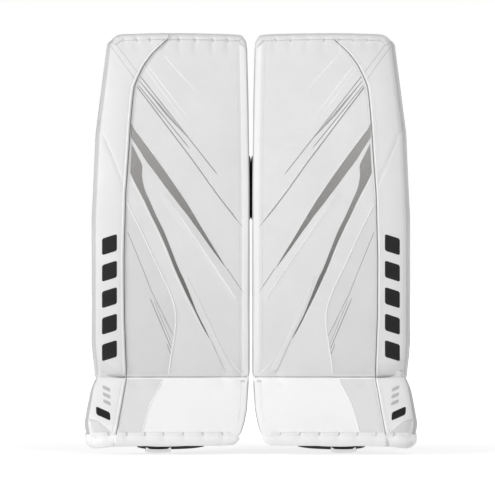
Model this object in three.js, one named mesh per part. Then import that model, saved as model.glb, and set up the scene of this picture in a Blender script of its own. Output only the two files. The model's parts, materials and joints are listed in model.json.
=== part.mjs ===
// A pair of ice-hockey goalie leg pads, standing upright with their faces towards -Y.
//
// Millimetres, +Z up. One pad is drawn once, in its own coordinates, and mirrored for the other leg:
//   u  across the pad: negative towards the other leg (the landing edge), positive towards the outside
//   d  depth behind the pad's face, which follows the lean of the boot, shin and thigh rise
//   z  height above the lowest edge of the boot
// The wearer's right pad stands on the -X side, and their left pad on the +X side.

import * as THREE from "three";

// Driving sizes of one pad.
const PAD_WIDTH = 279;
const PAD_HEIGHT = 726;
const CORE_THICKNESS = 44;
const COVER_THICKNESS = 1.8;
const ROLL_RISE = 12;
const CLEARANCE = 0.4;

// The face profile, from the boot up.
const BOOT_BOTTOM = 4;
const BOOT_BREAK = 121;
const BOOT_LEAN = 0.7;
const KNEE_BREAK = 546;
const THIGH_LEAN_START = 430;
const THIGH_LEAN_BACK = 55;

// The gaps that the two flexing breaks need, and how much their back edges are cut away.
const BREAK_GAP = 3;
const BOOT_BREAK_NOTCH = 0.33;
const KNEE_BREAK_NOTCH = 0.12;

// How the pair stands.
const PAIR_GAP = 6;
const PAD_YAW = THREE.MathUtils.degToRad(5);

// How far the calf wraps reach behind the face, and the same for the knee block and its wing.
const CALF_DEPTH = 164;
const KNEE_DEPTH = 121;

// The point in the right pad's leg channel that holds the row up: u, d and z.
const HOLD_POINT = { u: -5, d: 110, z: 260 };

const WHITE = { color: 0xf1f1ef, roughness: 0.55, metalness: 0 };
const GREY = { color: 0xc9c9cb, roughness: 0.7, metalness: 0 };
const BLACK = { color: 0x1a1a1c, roughness: 0.8, metalness: 0 };
const FOAM = { color: 0xd9d7cf, roughness: 0.9, metalness: 0 };

const halfWidth = PAD_WIDTH / 2;
const linerBack = COVER_THICKNESS + CORE_THICKNESS + 3 * CLEARANCE + 3;

// Straight-line interpolation through [height, value] points.
function profile(points) {
  return (z) => {
    const clamped = THREE.MathUtils.clamp(z, points[0][0], points.at(-1)[0]);
    const index = points.findIndex(([height]) => height >= clamped);
    if (index === 0) return points[0][1];
    const [lowZ, lowValue] = points[index - 1];
    const [highZ, highValue] = points[index];
    return THREE.MathUtils.mapLinear(clamped, lowZ, highZ, lowValue, highValue);
  };
}

// The landing edge is straight, with a rounded top corner and a rounded toe corner.
const innerEdge = profile([
  [BOOT_BOTTOM, -104], [12, -113], [24, -122], [42, -128], [64, -133], [BOOT_BREAK - 4, -138],
  [BOOT_BREAK + 4, -halfWidth], [696, -halfWidth], [706, -138], [713, -134.5], [718, -127],
]);

// The outside edge flares at the boot, notches at the break and draws in towards the thigh.
const outerEdge = profile([
  [BOOT_BOTTOM, 146], [14, 153], [42, 157], [74, 150], [105, 143], [BOOT_BREAK - 4, 135],
  [BOOT_BREAK + 4, 133], [152, 137], [180, halfWidth], [400, halfWidth], [KNEE_BREAK, 132.5],
  [706, 109], [718, 94],
]);

// The seam between the flat face and the raised roll.
const rollSeam = profile([
  [BOOT_BOTTOM, 104], [BOOT_BREAK, 77], [221, 81], [326, 81.5], [442, 78], [537, 72], [602, 66],
  [630, 61], [646, 55], [668, 43.5], [689, 28], [710, 6], [718, -4],
]);

// Depth of the face at a height: the boot reaches forward and the thigh rise leans back.
function faceDepth(z) {
  if (z < BOOT_BREAK) return -BOOT_LEAN * (BOOT_BREAK - z);
  const rise = Math.max(0, z - THIGH_LEAN_START) / (PAD_HEIGHT - THIGH_LEAN_START);
  return THIGH_LEAN_BACK * rise ** 1.6;
}

// Points of the pad in space. The boot's top edge and the thigh's bottom edge are cut away
// towards the back, so that both breaks can flex.
function bodyPoint(u, d, z) {
  return new THREE.Vector3(u, faceDepth(z) + d, z);
}

function bootPoint(u, d, z) {
  const notch = BOOT_BREAK_NOTCH * Math.max(0, d) * (z - BOOT_BOTTOM) / (BOOT_BREAK - BOOT_BOTTOM);
  return bodyPoint(u, d, z - notch);
}

function thighPoint(u, d, z) {
  const fade = THREE.MathUtils.clamp(1 - (z - KNEE_BREAK) / 60, 0, 1);
  return bodyPoint(u, d, z + KNEE_BREAK_NOTCH * Math.max(0, d) * fade);
}

// Triangles that fill a flat ring of points, turning the same way round as the ring.
function fillRing(ring) {
  const normal = new THREE.Vector3();
  ring.forEach((point, index) => {
    normal.add(new THREE.Vector3().crossVectors(point, ring[(index + 1) % ring.length]));
  });
  const plane = new THREE.Quaternion().setFromUnitVectors(normal.normalize(), new THREE.Vector3(0, 0, 1));
  const flat = ring.map((point) => {
    const turned = point.clone().applyQuaternion(plane);
    return new THREE.Vector2(turned.x, turned.y);
  });
  return THREE.ShapeUtils.triangulateShape(flat, []);
}

// A closed solid whose skin runs through rings of points, with its two ends filled.
function skin(rings) {
  const size = rings[0].length;
  const last = (rings.length - 1) * size;
  const faces = [];
  for (let ring = 0; ring < rings.length - 1; ring += 1) {
    for (let point = 0; point < size; point += 1) {
      const a = ring * size + point;
      const b = ring * size + (point + 1) % size;
      faces.push([a, b, b + size], [a, b + size, a + size]);
    }
  }
  faces.push(...fillRing(rings[0]).map(([a, b, c]) => [a, c, b]));
  faces.push(...fillRing(rings.at(-1)).map(([a, b, c]) => [a + last, b + last, c + last]));

  const points = rings.flat();
  const volume = faces.reduce((sum, [a, b, c]) =>
    sum + points[a].dot(new THREE.Vector3().crossVectors(points[b], points[c])), 0);
  const outward = volume > 0 ? faces : faces.map(([a, b, c]) => [a, c, b]);
  const geometry = new THREE.BufferGeometry().setFromPoints(points);
  geometry.setIndex(outward.flat());
  geometry.computeVertexNormals();
  return geometry;
}

function piece(name, geometry, look) {
  const mesh = new THREE.Mesh(geometry, new THREE.MeshStandardMaterial(look));
  mesh.name = name;
  return mesh;
}

// A solid that follows the pad's profile: section(z) gives its [u, d] outline at each height.
function rising(heights, section, place = bodyPoint) {
  return skin(heights.map((z) => section(z).map(([u, d]) => place(u, d, z))));
}

// A strip of even thickness along a [u, d] path, as a closed outline with mitred corners.
function ribbon(path, thickness) {
  const offset = path.map(([u, d], index) => {
    const before = path[Math.max(index - 1, 0)];
    const after = path[Math.min(index + 1, path.length - 1)];
    const arriving = new THREE.Vector2(u - before[0], d - before[1]).normalize();
    const leaving = new THREE.Vector2(after[0] - u, after[1] - d).normalize();
    const along = arriving.clone().add(leaving).normalize();
    const mitre = 1 / Math.max(along.dot(index ? arriving : leaving), 0.5);
    return [-along.y * mitre * thickness / 2, along.x * mitre * thickness / 2];
  });
  const left = path.map(([u, d], index) => [u + offset[index][0], d + offset[index][1]]);
  const right = path.map(([u, d], index) => [u - offset[index][0], d - offset[index][1]]);
  return [...right, ...left.reverse()];
}

// Points on a quarter turn about a corner, from one angle to another, in degrees.
function corner(u, d, radius, from, to, steps = 3) {
  return Array.from({ length: steps + 1 }, (_, index) => {
    const angle = THREE.MathUtils.degToRad(from + (to - from) * index / steps);
    return [u + radius * Math.cos(angle), d + radius * Math.sin(angle)];
  });
}

// The foam core: the whole pad, less its covers and the roll's outside wall.
function coreSection(z) {
  const front = COVER_THICKNESS + CLEARANCE;
  const back = front + CORE_THICKNESS;
  const inner = innerEdge(z) + COVER_THICKNESS + CLEARANCE;
  const outer = outerEdge(z) - 11;
  return [
    ...corner(inner + 6, front + 6, 6, 270, 180, 2),
    ...corner(inner + 6, back - 6, 6, 180, 90, 2),
    [outer, back],
    [outer, front],
  ];
}

// The synthetic-leather cover: over the face from the roll's seam and round the landing edge.
function coverSection(z) {
  const half = COVER_THICKNESS / 2;
  const inner = innerEdge(z);
  const path = [
    [rollSeam(z) - CLEARANCE, half],
    ...corner(inner + 8, 8, 8 - half, 270, 180),
    [inner + half, CORE_THICKNESS],
  ];
  return ribbon(path, COVER_THICKNESS);
}

// The outside roll: padded, proud of the face, and wrapped round the core's outside edge.
function rollSection(z) {
  const seam = rollSeam(z) + CLEARANCE;
  const outer = outerEdge(z);
  const width = outer - seam;
  const under = COVER_THICKNESS;
  const back = CORE_THICKNESS + COVER_THICKNESS;
  return [
    [seam, under],
    [seam, -ROLL_RISE * 0.7],
    [seam + 3, -ROLL_RISE],
    [seam + width * 0.35, -ROLL_RISE * 1.05],
    [seam + width * 0.7, -ROLL_RISE * 0.7],
    [outer - width * 0.1, -ROLL_RISE * 0.1],
    [outer - 0.5, 6],
    [outer, 14],
    [outer, back - 4],
    [outer - 4, back],
    [outer - 10.5, back],
    [outer - 10.5, under],
  ];
}

// The flat liner that closes the back of a core.
function linerSection(z) {
  const front = COVER_THICKNESS + CORE_THICKNESS + 2 * CLEARANCE;
  const inner = innerEdge(z) + 3;
  const outer = outerEdge(z) - 3;
  return [[inner, front], [inner, linerBack], [outer, linerBack], [outer, front]];
}

// Core, cover, roll and liner over one stretch of the pad.
function shell(prefix, heights, place, rollHeights = heights) {
  return [
    piece(`${prefix}_core`, rising(heights, coreSection, place), FOAM),
    piece(`${prefix}_face`, rising(heights, coverSection, place), WHITE),
    piece(`${prefix}_roll`, rising(rollHeights, rollSection, place), WHITE),
    piece(`${prefix}_liner`, rising(heights, linerSection, place), BLACK),
  ];
}

// The cap that binds the top edge over the core, cover, roll and liner.
function topBinding(side) {
  const low = 718 + CLEARANCE;
  const seam = rollSeam(low);
  const outline = [
    [-127, 0], [seam, 0], [seam + 4, -ROLL_RISE], [seam + 40, -ROLL_RISE], [94, -2], [97, 12],
    [97, linerBack], [-127, linerBack], [-130, linerBack - 6], [-130, 6],
  ];
  return piece(`${side}_top_binding`, rising([low, PAD_HEIGHT], () => outline), WHITE);
}

// The folded strip that binds the toe edge: over the front, under the toe and up the back. It
// swells towards the outside, where it closes the lower end of the roll.
const BINDING_TOP = 22;

function bottomBinding(side) {
  const wall = 1.8;
  const back = linerBack + wall + CLEARANCE;
  const ring = ([u, swell]) => {
    const front = -wall - CLEARANCE - swell;
    return [
      [front, BINDING_TOP], [front, BOOT_BOTTOM - wall], [back, BOOT_BOTTOM - wall], [back, BINDING_TOP],
      [back - wall, BINDING_TOP], [back - wall, BOOT_BOTTOM], [-CLEARANCE, BOOT_BOTTOM],
      [-CLEARANCE, BINDING_TOP],
    ].map(([d, z]) => new THREE.Vector3(u, faceDepth(z) + d, z));
  };
  const stations = [[-100, 0], [84, 0], [100, 9], [136, 7], [150, 1]];
  return piece(`${side}_bottom_binding`, skin(stations.map(ring)), WHITE);
}

// The cushion that the shin rests on, hollowed along the leg.
function shinCushion(side) {
  const front = linerBack + CLEARANCE;
  const section = () => [
    [-78, front], [-78, front + 20], [-62, front + 18], [-40, front + 9], [-5, front + 6],
    [30, front + 9], [52, front + 18], [68, front + 20], [68, front],
  ];
  return piece(`${side}_shin_cushion`, rising([138, 262, 386], section), GREY);
}

// The softer cushion under the kneecap.
function kneeCradle(side) {
  const front = linerBack + CLEARANCE;
  const section = (z) => {
    const dish = 14 - 7 * Math.sin(Math.PI * (z - 396) / 140);
    return [
      [-74, front], [-74, front + 16], [-48, front + dish], [-4, front + dish - 4],
      [40, front + dish], [66, front + 16], [66, front],
    ];
  };
  return piece(`${side}_knee_cradle`, rising([396, 431, 466, 501, 536], section), GREY);
}

// The knee block: firm foam that carries the knee when the pad lies on its landing edge.
// Two stacked layers, each a wedge with softened corners.
function kneeBlockLayer(name, front, back, inset, look) {
  const section = (z) => {
    const taper = inset + 10 * (Math.abs(z - 466) / 70) ** 3;
    const inner = -halfWidth + 2;
    return [
      [inner, front], [inner, back - 6], [inner + 6, back], [-84 - taper, back],
      [-80 - taper, back - 4], [-80 - taper, front],
    ];
  };
  return piece(name, rising([398, 415, 466, 517, 534], section), look);
}

// The inner calf wrap: a stiff padded wall along the landing edge that turns in behind the calf.
function innerCalfWrap(side) {
  const front = linerBack + CLEARANCE;
  const turn = CALF_DEPTH - 24;
  const path = [
    [-131, front], [-131, turn - 6], ...corner(-111, turn, 20, 180, 100, 4), [-98, turn + 21],
  ];
  const outline = ribbon(path, 11);
  return piece(`${side}_inner_calf_wrap`, rising([142, 384], () => outline), WHITE);
}

// A padded flap on the outside edge that swings open to let the leg in.
const CALF_FLAP = { hinge: [116, linerBack + 6], low: 146, high: 376, thickness: 9 };
const KNEE_FLAP = { hinge: [108, linerBack + 17], low: 402, high: 530, thickness: 8 };

function outerFlap(name, flap, path, look) {
  const outline = ribbon([[flap.hinge[0], flap.hinge[1] + 2], ...path], flap.thickness);
  return piece(name, rising([flap.low, flap.high], () => outline, flatPoint), look);
}

// Flaps and straps behind the knee stay square to the ground while the face leans.
function flatPoint(u, d, z) {
  return new THREE.Vector3(u, d, z);
}

function outerCalfWrap(side) {
  const turn = CALF_DEPTH - 24;
  const path = [[121, turn - 12], ...corner(101, turn, 20, 0, 80, 4), [88, turn + 21]];
  return outerFlap(`${side}_outer_calf_wrap`, CALF_FLAP, path, WHITE);
}

function kneeWing(side) {
  const turn = KNEE_DEPTH - 11;
  const path = [[112, turn - 12], ...corner(94, turn, 18, 0, 80, 4), [82, turn + 19]];
  return outerFlap(`${side}_knee_wing`, KNEE_FLAP, path, WHITE);
}

// An elastic strap that starts on an outside flap and closes on the landing side.
function crossStrap(name, from, to, depth, low, high, place = flatPoint) {
  const thickness = 2.2;
  const outline = ribbon([[from, depth], [to, depth]], thickness);
  return piece(name, rising([low, high], () => outline, place), BLACK);
}

// Side walls of the boot channel, and the strap behind the skate boot.
function ankleWing(name, u, lean, high, place) {
  const front = linerBack + CLEARANCE;
  const outline = ribbon([[u, front], [u + lean * 0.4, 74], [u + lean, 98]], 7);
  return piece(name, rising([40, high], () => outline, place), WHITE);
}

// The toe bridge is a bar of webbing under the toe edge, and the toe loop hangs from it.
const TOE = { d: 20, z: -6, low: -48, high: 60, loop: 0, width: 44, depth: 8, thickness: 3 };

function toeBridge(side) {
  const top = BOOT_BOTTOM - 2.2;
  const outline = ribbon([
    [TOE.low, top], [TOE.low, TOE.z], [TOE.high, TOE.z], [TOE.high, top],
  ], TOE.thickness);
  const middle = faceDepth(BOOT_BOTTOM) + TOE.d;
  const ring = (y) => outline.map(([u, z]) => new THREE.Vector3(u, y, z));
  const geometry = skin([ring(middle - TOE.depth / 2), ring(middle + TOE.depth / 2)]);
  return piece(`${side}_toe_bridge`, geometry, BLACK);
}

function toeLoop(side) {
  const wall = 2;
  const [deep, above, below] = [8, 2.8, 7];
  const middle = faceDepth(BOOT_BOTTOM) + TOE.d;
  const band = (grow) => {
    const shape = new THREE.Shape();
    shape.moveTo(-deep - grow, -below - grow);
    shape.lineTo(deep + grow, -below - grow);
    shape.lineTo(deep + grow, above + grow);
    shape.lineTo(-deep - grow, above + grow);
    shape.closePath();
    return shape;
  };
  const shape = band(wall);
  shape.holes.push(band(0));
  const geometry = new THREE.ExtrudeGeometry(shape, { depth: TOE.width, bevelEnabled: false });
  geometry.rotateX(Math.PI / 2);
  geometry.rotateZ(Math.PI / 2);
  geometry.translate(TOE.loop, middle, TOE.z);
  return piece(`${side}_toe_loop`, geometry, WHITE);
}

// One pad. side names its nodes; turn is +1 for the wearer's left pad and -1 for the right.
function makePad(side, turn) {
  const pad = new THREE.Group();
  pad.position.x = turn * (PAIR_GAP / 2 + halfWidth * Math.cos(PAD_YAW));
  pad.rotation.z = -turn * PAD_YAW;
  pad.scale.x = turn;

  const thighHeights = [
    KNEE_BREAK + BREAK_GAP, 575, 602, 630, 646, 668, 689, 706, 713, 718,
  ];
  const shinHeights = [
    BOOT_BREAK + BREAK_GAP + 2, 152, 180, 221, 326, 400, 442, 470, 502, KNEE_BREAK - BREAK_GAP,
  ];
  const bootHeights = [BOOT_BOTTOM + 2, 14, 24, 42, 64, 74, 105, BOOT_BREAK - BREAK_GAP];
  pad.add(...shell(`${side}_thigh`, thighHeights, thighPoint));
  pad.add(...shell(`${side}_shin`, shinHeights, bodyPoint));
  const bootRollHeights = [BINDING_TOP + 1, ...bootHeights.filter((z) => z > BINDING_TOP + 1)];
  pad.add(...shell(`${side}_boot`, bootHeights, bootPoint, bootRollHeights));
  pad.add(topBinding(side), bottomBinding(side));

  pad.add(shinCushion(side), kneeCradle(side));
  const blockFront = linerBack + CLEARANCE;
  const blockMiddle = blockFront + 44;
  pad.add(kneeBlockLayer(`${side}_knee_block`, blockFront, blockMiddle, 0, BLACK));
  pad.add(kneeBlockLayer(`${side}_knee_riser`, blockMiddle + CLEARANCE, KNEE_DEPTH, 6, BLACK));
  pad.add(innerCalfWrap(side), outerCalfWrap(side), kneeWing(side));

  const calfStrap = CALF_DEPTH + 5;
  const kneeStrap = KNEE_DEPTH + 15;
  pad.add(crossStrap(`${side}_calf_strap`, 92, -122, calfStrap, 236, 286));
  pad.add(crossStrap(`${side}_calf_strap_tab`, -66, -126, calfStrap + 3, 240, 282));
  pad.add(crossStrap(`${side}_knee_strap`, 88, -124, kneeStrap, 444, 494));
  pad.add(crossStrap(`${side}_knee_strap_tab`, -74, -130, kneeStrap + 3, 448, 490));

  pad.add(ankleWing(`${side}_inner_ankle_wing`, -116, 6, 112, bodyPoint));
  pad.add(ankleWing(`${side}_outer_ankle_wing`, 116, -6, 112, bodyPoint));
  pad.add(crossStrap(`${side}_boot_strap`, 112, -112, 103, 62, 98, bodyPoint));
  pad.add(toeBridge(side), toeLoop(side));
  return pad;
}

// The whole pair, moved so that the right pad's hold point is the origin.
const pair = new THREE.Group();
const rightPad = makePad("right", -1);
const leftPad = makePad("left", 1);
pair.add(rightPad, leftPad);
rightPad.updateMatrixWorld(true);
const holdPoint = bodyPoint(HOLD_POINT.u, HOLD_POINT.d, HOLD_POINT.z).applyMatrix4(rightPad.matrixWorld);
pair.position.copy(holdPoint).negate();

export default pair;
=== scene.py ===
"""A pair of ice-hockey goalie leg pads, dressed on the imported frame.

Shapes are worked out in millimetres in each pad's own space: u runs across the pad from the
landing edge (negative) to the outside, y runs back from the face, z is height. Depth d is y
measured from the leaning face. place() carries a shape to the row frame.
"""

import json
import math

import bmesh
import bpy
import numpy as np
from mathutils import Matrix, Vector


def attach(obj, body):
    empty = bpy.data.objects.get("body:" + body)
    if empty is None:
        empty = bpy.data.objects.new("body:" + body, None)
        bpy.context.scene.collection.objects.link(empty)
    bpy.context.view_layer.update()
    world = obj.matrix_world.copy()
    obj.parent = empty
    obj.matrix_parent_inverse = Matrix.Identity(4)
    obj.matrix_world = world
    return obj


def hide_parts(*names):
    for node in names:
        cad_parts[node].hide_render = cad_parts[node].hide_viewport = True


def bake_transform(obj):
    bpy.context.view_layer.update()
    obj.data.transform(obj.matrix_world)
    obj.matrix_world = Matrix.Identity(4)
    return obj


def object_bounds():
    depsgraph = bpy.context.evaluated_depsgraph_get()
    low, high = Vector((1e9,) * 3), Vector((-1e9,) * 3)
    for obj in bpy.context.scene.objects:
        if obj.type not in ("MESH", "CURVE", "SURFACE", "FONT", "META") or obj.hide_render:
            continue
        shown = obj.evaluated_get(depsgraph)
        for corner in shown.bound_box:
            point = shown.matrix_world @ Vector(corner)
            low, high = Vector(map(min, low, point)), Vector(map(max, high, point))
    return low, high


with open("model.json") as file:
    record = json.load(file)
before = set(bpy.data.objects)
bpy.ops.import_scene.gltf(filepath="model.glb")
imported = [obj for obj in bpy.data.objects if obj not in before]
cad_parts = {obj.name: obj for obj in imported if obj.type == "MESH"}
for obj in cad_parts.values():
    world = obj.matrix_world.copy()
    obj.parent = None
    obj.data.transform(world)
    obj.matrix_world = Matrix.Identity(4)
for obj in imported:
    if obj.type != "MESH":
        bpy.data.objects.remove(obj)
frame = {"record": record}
cad_box = [[float(v) for v in corner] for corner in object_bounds()]
JOINTS = {joint["name"]: joint for joint in frame["record"]["behaviour"]["joints"]}
scene = bpy.context.scene
SIDES = ("right", "left")

# ---------------------------------------------------------------- camera and light

centre_x = (cad_box[0][0] + cad_box[1][0]) / 2
floor_z = cad_box[0][2]

camera_data = bpy.data.cameras.new("camera")
camera_data.sensor_width = 36
camera_data.clip_end = 100
camera_data.lens = 497  # far off and long, so that the pads show almost no perspective
camera = bpy.data.objects.new("camera", camera_data)
scene.collection.objects.link(camera)
camera.location = (centre_x - 0.006, -12.11, 0.087)
camera.rotation_euler = (math.pi / 2, 0, 0)
scene.camera = camera


def area_light(name, azimuth, elevation, distance, size, power):
    """A round lamp aimed at the pads. Azimuth 0 is in front, and a positive one is to the right."""
    data = bpy.data.lights.new(name, "AREA")
    data.shape = "DISK"
    data.size = size
    data.energy = power
    light = bpy.data.objects.new(name, data)
    scene.collection.objects.link(light)
    turn, rise = math.radians(azimuth), math.radians(elevation)
    offset = (
        distance * math.cos(rise) * math.sin(turn),
        -distance * math.cos(rise) * math.cos(turn),
        distance * math.sin(rise),
    )
    light.location = (centre_x + offset[0], offset[1], 0.1 + offset[2])
    light.rotation_euler = (math.pi / 2 - rise, 0, turn)


area_light("key_light", -52, 21, 3.4, 1.2, 58)
area_light("top_light", 24, 47, 3.4, 2.0, 33)
area_light("back_fill", 150, 40, 4.0, 2.2, 36)

world = bpy.data.worlds.new("studio")
world.use_nodes = True
sky = world.node_tree
sky_place = sky.nodes.new("ShaderNodeTexCoord")
sky_split = sky.nodes.new("ShaderNodeSeparateXYZ")
sky_ramp = sky.nodes.new("ShaderNodeValToRGB")
sky_ramp.color_ramp.elements[0].position = 0.08
sky_ramp.color_ramp.elements[0].color = (1, 1, 1, 1)
sky_ramp.color_ramp.elements[1].position = 0.3
sky_ramp.color_ramp.elements[1].color = (0.2, 0.2, 0.2, 1)
sky.links.new(sky_place.outputs["Generated"], sky_split.inputs[0])
sky.links.new(sky_split.outputs["Z"], sky_ramp.inputs["Fac"])
sky.links.new(sky_ramp.outputs["Color"], sky.nodes["Background"].inputs["Color"])
scene.world = world
scene.view_settings.view_transform = "Standard"
scene.view_settings.look = "None"

# ---------------------------------------------------------------- materials


def grey(value, tint=0.0):
    """A neutral colour; a small tint makes it warmer."""
    return (value * (1 + tint), value, value * (1 - tint), 1)


LOOKS = {}


class Look:
    """A procedural material under construction. Once finished it is in LOOKS by its name."""

    def __init__(self, name):
        self.name = name
        self.material = bpy.data.materials.new(name)
        self.material.use_nodes = True
        self.tree = self.material.node_tree
        self.shader = self.tree.nodes["Principled BSDF"]
        self.place = self.add("TexCoord").outputs["Object"]
        self.normal = None

    def add(self, kind, **settings):
        """A new node. Each setting is one of its properties or the value of an input."""
        node = self.tree.nodes.new("ShaderNode" + kind)
        for key, value in settings.items():
            if hasattr(node, key):
                setattr(node, key, value)
            else:
                node.inputs[key.replace("_", " ")].default_value = value
        return node

    def link(self, source, target):
        self.tree.links.new(source, target)

    def noise(self, scale, detail, rough=0.5):
        """Cloudy noise, from 0 to 1."""
        node = self.add("TexNoise", Scale=scale, Detail=detail, Roughness=rough)
        self.link(self.place, node.inputs["Vector"])
        return node.outputs["Fac"]

    def cells(self, scale, feature="F1", random=1.0, distance="EUCLIDEAN"):
        """Distance from the nearest of many scattered points."""
        node = self.add("TexVoronoi", feature=feature, distance=distance, Scale=scale)
        node.inputs["Randomness"].default_value = random
        self.link(self.place, node.inputs["Vector"])
        return node.outputs["Distance"]

    def bands(self, axis, scale, distortion=0.0):
        """Parallel bands across an axis."""
        node = self.add("TexWave", bands_direction=axis, Scale=scale, Distortion=distortion)
        self.link(self.place, node.inputs["Vector"])
        return node.outputs["Fac"]

    def math(self, operation, a, b):
        """Arithmetic on two sockets or numbers."""
        node = self.add("Math", operation=operation)
        for socket, value in zip(node.inputs, (a, b)):
            if isinstance(value, (int, float)):
                socket.default_value = value
            else:
                self.link(value, socket)
        return node.outputs["Value"]

    def ramp(self, factor, *stops):
        """A value or colour blended between stops of (position, colour or grey)."""
        node = self.add("ValToRGB")
        elements = node.color_ramp.elements
        while len(elements) < len(stops):
            elements.new(0.5)
        for element, (position, colour) in zip(elements, stops):
            element.position = position
            element.color = colour if isinstance(colour, tuple) else grey(colour)
        self.link(factor, node.inputs["Fac"])
        return node.outputs["Color"]

    def mix(self, factor, a, b):
        """Colour a where the factor is 0, and b where it is 1."""
        node = self.add("Mix", data_type="RGBA")
        for socket, value in zip((node.inputs[0], node.inputs[6], node.inputs[7]), (factor, a, b)):
            if isinstance(value, (int, float, tuple)):
                socket.default_value = value
            else:
                self.link(value, socket)
        return node.outputs[2]

    def edges(self, low=0.47, high=0.56):
        """1 on worn convex edges, 0 elsewhere."""
        geometry = self.add("NewGeometry")
        return self.ramp(geometry.outputs["Pointiness"], (low, 0.0), (high, 1.0))

    def bump(self, height, distance, strength):
        """Raises the surface by a height map, on top of the bumps before."""
        node = self.add("Bump", Distance=distance, Strength=strength)
        self.link(height, node.inputs["Height"])
        if self.normal is not None:
            self.link(self.normal, node.inputs["Normal"])
        self.normal = node.outputs["Normal"]

    def height(self):
        """The height of the point being coloured, in metres."""
        node = self.add("SeparateXYZ")
        self.link(self.place, node.inputs[0])
        return node.outputs["Z"]

    def spread(self, value, low, high, first, last):
        """Carries a value between low and high to one between first and last."""
        node = self.add("MapRange", From_Min=low, From_Max=high, To_Min=first, To_Max=last)
        self.link(value, node.inputs["Value"])
        return node.outputs["Result"]

    def finish(self, colour, rough, sheen, specular):
        """Joins everything to the shader."""
        self.link(colour, self.shader.inputs["Base Color"])
        self.link(rough, self.shader.inputs["Roughness"])
        if self.normal is not None:
            self.link(self.normal, self.shader.inputs["Normal"])
        self.shader.inputs["Sheen Weight"].default_value = sheen
        self.shader.inputs["Sheen Roughness"].default_value = 0.4
        self.shader.inputs["Specular IOR Level"].default_value = specular
        LOOKS[self.name] = self.material


def leather(name, low, high, worn, rough=(0.42, 0.58), grain=1.0, specular=0.4, painted_foot_shade=None):
    """Coated synthetic leather: a fine pebble grain, soft creases, and wear on its edges.

    The last argument gives two heights between which painted shade greys the leather, most at the lower one.
    """
    look = Look(name)
    pebble = look.cells(1150 * grain)
    crease = look.cells(620 * grain, "DISTANCE_TO_EDGE")
    cloud = look.noise(16, 4, 0.55)
    scuff = look.noise(190, 6, 0.7)
    base = look.ramp(cloud, (0.3, low), (0.7, high))
    marks = look.ramp(scuff, (0.60, 0.0), (0.78, 1.0))
    base = look.mix(look.math("MULTIPLY", marks, 0.16), base, grey(worn))
    base = look.mix(look.math("MULTIPLY", look.edges(), 0.35), base, grey(worn))
    # painted shade: the leather is painted greyer towards the foot, standing in for the low light there
    if painted_foot_shade:
        base = look.mix(look.spread(look.height(), *painted_foot_shade, 0.75, 0.0), base, grey(worn * 0.62))
    look.bump(look.ramp(crease, (0.0, 0.0), (0.12, 1.0)), 0.00012, 0.5)
    look.bump(pebble, 0.00016, 0.45)
    look.bump(look.noise(55, 3, 0.5), 0.0011, 0.35)
    look.finish(base, look.ramp(scuff, (0.35, rough[0]), (0.7, rough[1])), 0.02, specular)


def woven(name, low, high, across, along, rough, sheen, depth=0.0003):
    """Webbing or cloth of crossed yarns."""
    look = Look(name)
    warp = look.bands("X", across)
    weft = look.bands("Z", along, 0.3)
    yarn = look.math("MULTIPLY", warp, weft)
    fuzz = look.noise(900, 4, 0.7)
    base = look.ramp(yarn, (0.05, low * 0.62), (0.75, high))
    base = look.mix(look.math("MULTIPLY", look.noise(22, 3), 0.5), base, grey(low))
    base = look.mix(look.math("MULTIPLY", look.edges(0.5, 0.6), 0.25), base, grey(high * 1.5))
    look.bump(yarn, depth, 0.8)
    look.bump(fuzz, 0.0001, 0.5)
    look.finish(base, look.ramp(fuzz, (0.3, rough[0]), (0.7, rough[1])), sheen, 0.3)


def knitted(name, low, high, scale, sheen):
    """Brushed knit or mesh fabric: rows of small loops under a soft nap."""
    look = Look(name)
    loops = look.cells(scale, "F1", 0.25, "CHEBYCHEV")
    nap = look.noise(700, 5, 0.75)
    cloud = look.noise(28, 4, 0.6)
    base = look.ramp(loops, (0.15, high), (0.75, low * 0.6))
    base = look.mix(look.ramp(cloud, (0.35, 0.0), (0.7, 0.5)), base, grey(low))
    base = look.mix(look.math("MULTIPLY", look.edges(0.5, 0.6), 0.3), base, grey(high * 1.3))
    look.bump(look.ramp(loops, (0.2, 1.0), (0.7, 0.0)), 0.00035, 0.7)
    look.bump(nap, 0.0002, 0.5)
    look.finish(base, look.ramp(nap, (0.3, 0.75), (0.7, 0.92)), sheen, 0.2)


def foam(name, value):
    """Open foam: small round pores."""
    look = Look(name)
    pores = look.cells(900, "SMOOTH_F1")
    base = look.ramp(pores, (0.1, value * 0.7), (0.6, value))
    base = look.mix(look.math("MULTIPLY", look.noise(30, 3), 0.4), base, grey(value * 0.8, 0.02))
    look.bump(pores, 0.0004, 0.8)
    look.finish(base, look.ramp(pores, (0.2, 0.85), (0.7, 0.98)), 0.1, 0.2)


def hooked(name, value):
    """The hook side of a hook-and-loop tab: rows of tiny stiff hooks."""
    look = Look(name)
    hooks = look.cells(760, "F1", 0.15)
    base = look.ramp(hooks, (0.1, value * 2.2), (0.5, value * 0.5))
    base = look.mix(look.math("MULTIPLY", look.noise(40, 3), 0.4), base, grey(value))
    look.bump(look.ramp(hooks, (0.1, 1.0), (0.5, 0.0)), 0.0006, 0.9)
    look.finish(base, look.ramp(hooks, (0.1, 0.5), (0.6, 0.85)), 0.1, 0.4)


def floor_material():
    """A floor that glows white, a painted light, its glow painted dimmer round the pads as a painted shade
    under them.
    """
    look = Look("studio_floor")
    cloud = look.noise(1.3, 3, 0.5)
    base = look.ramp(cloud, (0.3, 0.40), (0.7, 0.43))
    reach = look.add("VectorMath", operation="DISTANCE")
    look.link(look.place, reach.inputs[0])
    reach.inputs[1].default_value = (centre_x, -0.05, floor_z)
    # painted shade: the glow rises from 0.70 near the pads to full white further off
    glow = look.spread(reach.outputs["Value"], 0.4, 2.4, 0.70, 1.0)
    look.shader.inputs["Emission Color"].default_value = (1, 1, 1, 1)
    look.link(glow, look.shader.inputs["Emission Strength"])
    look.finish(base, look.ramp(cloud, (0.3, 0.75), (0.7, 0.85)), 0, 0.1)


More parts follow.
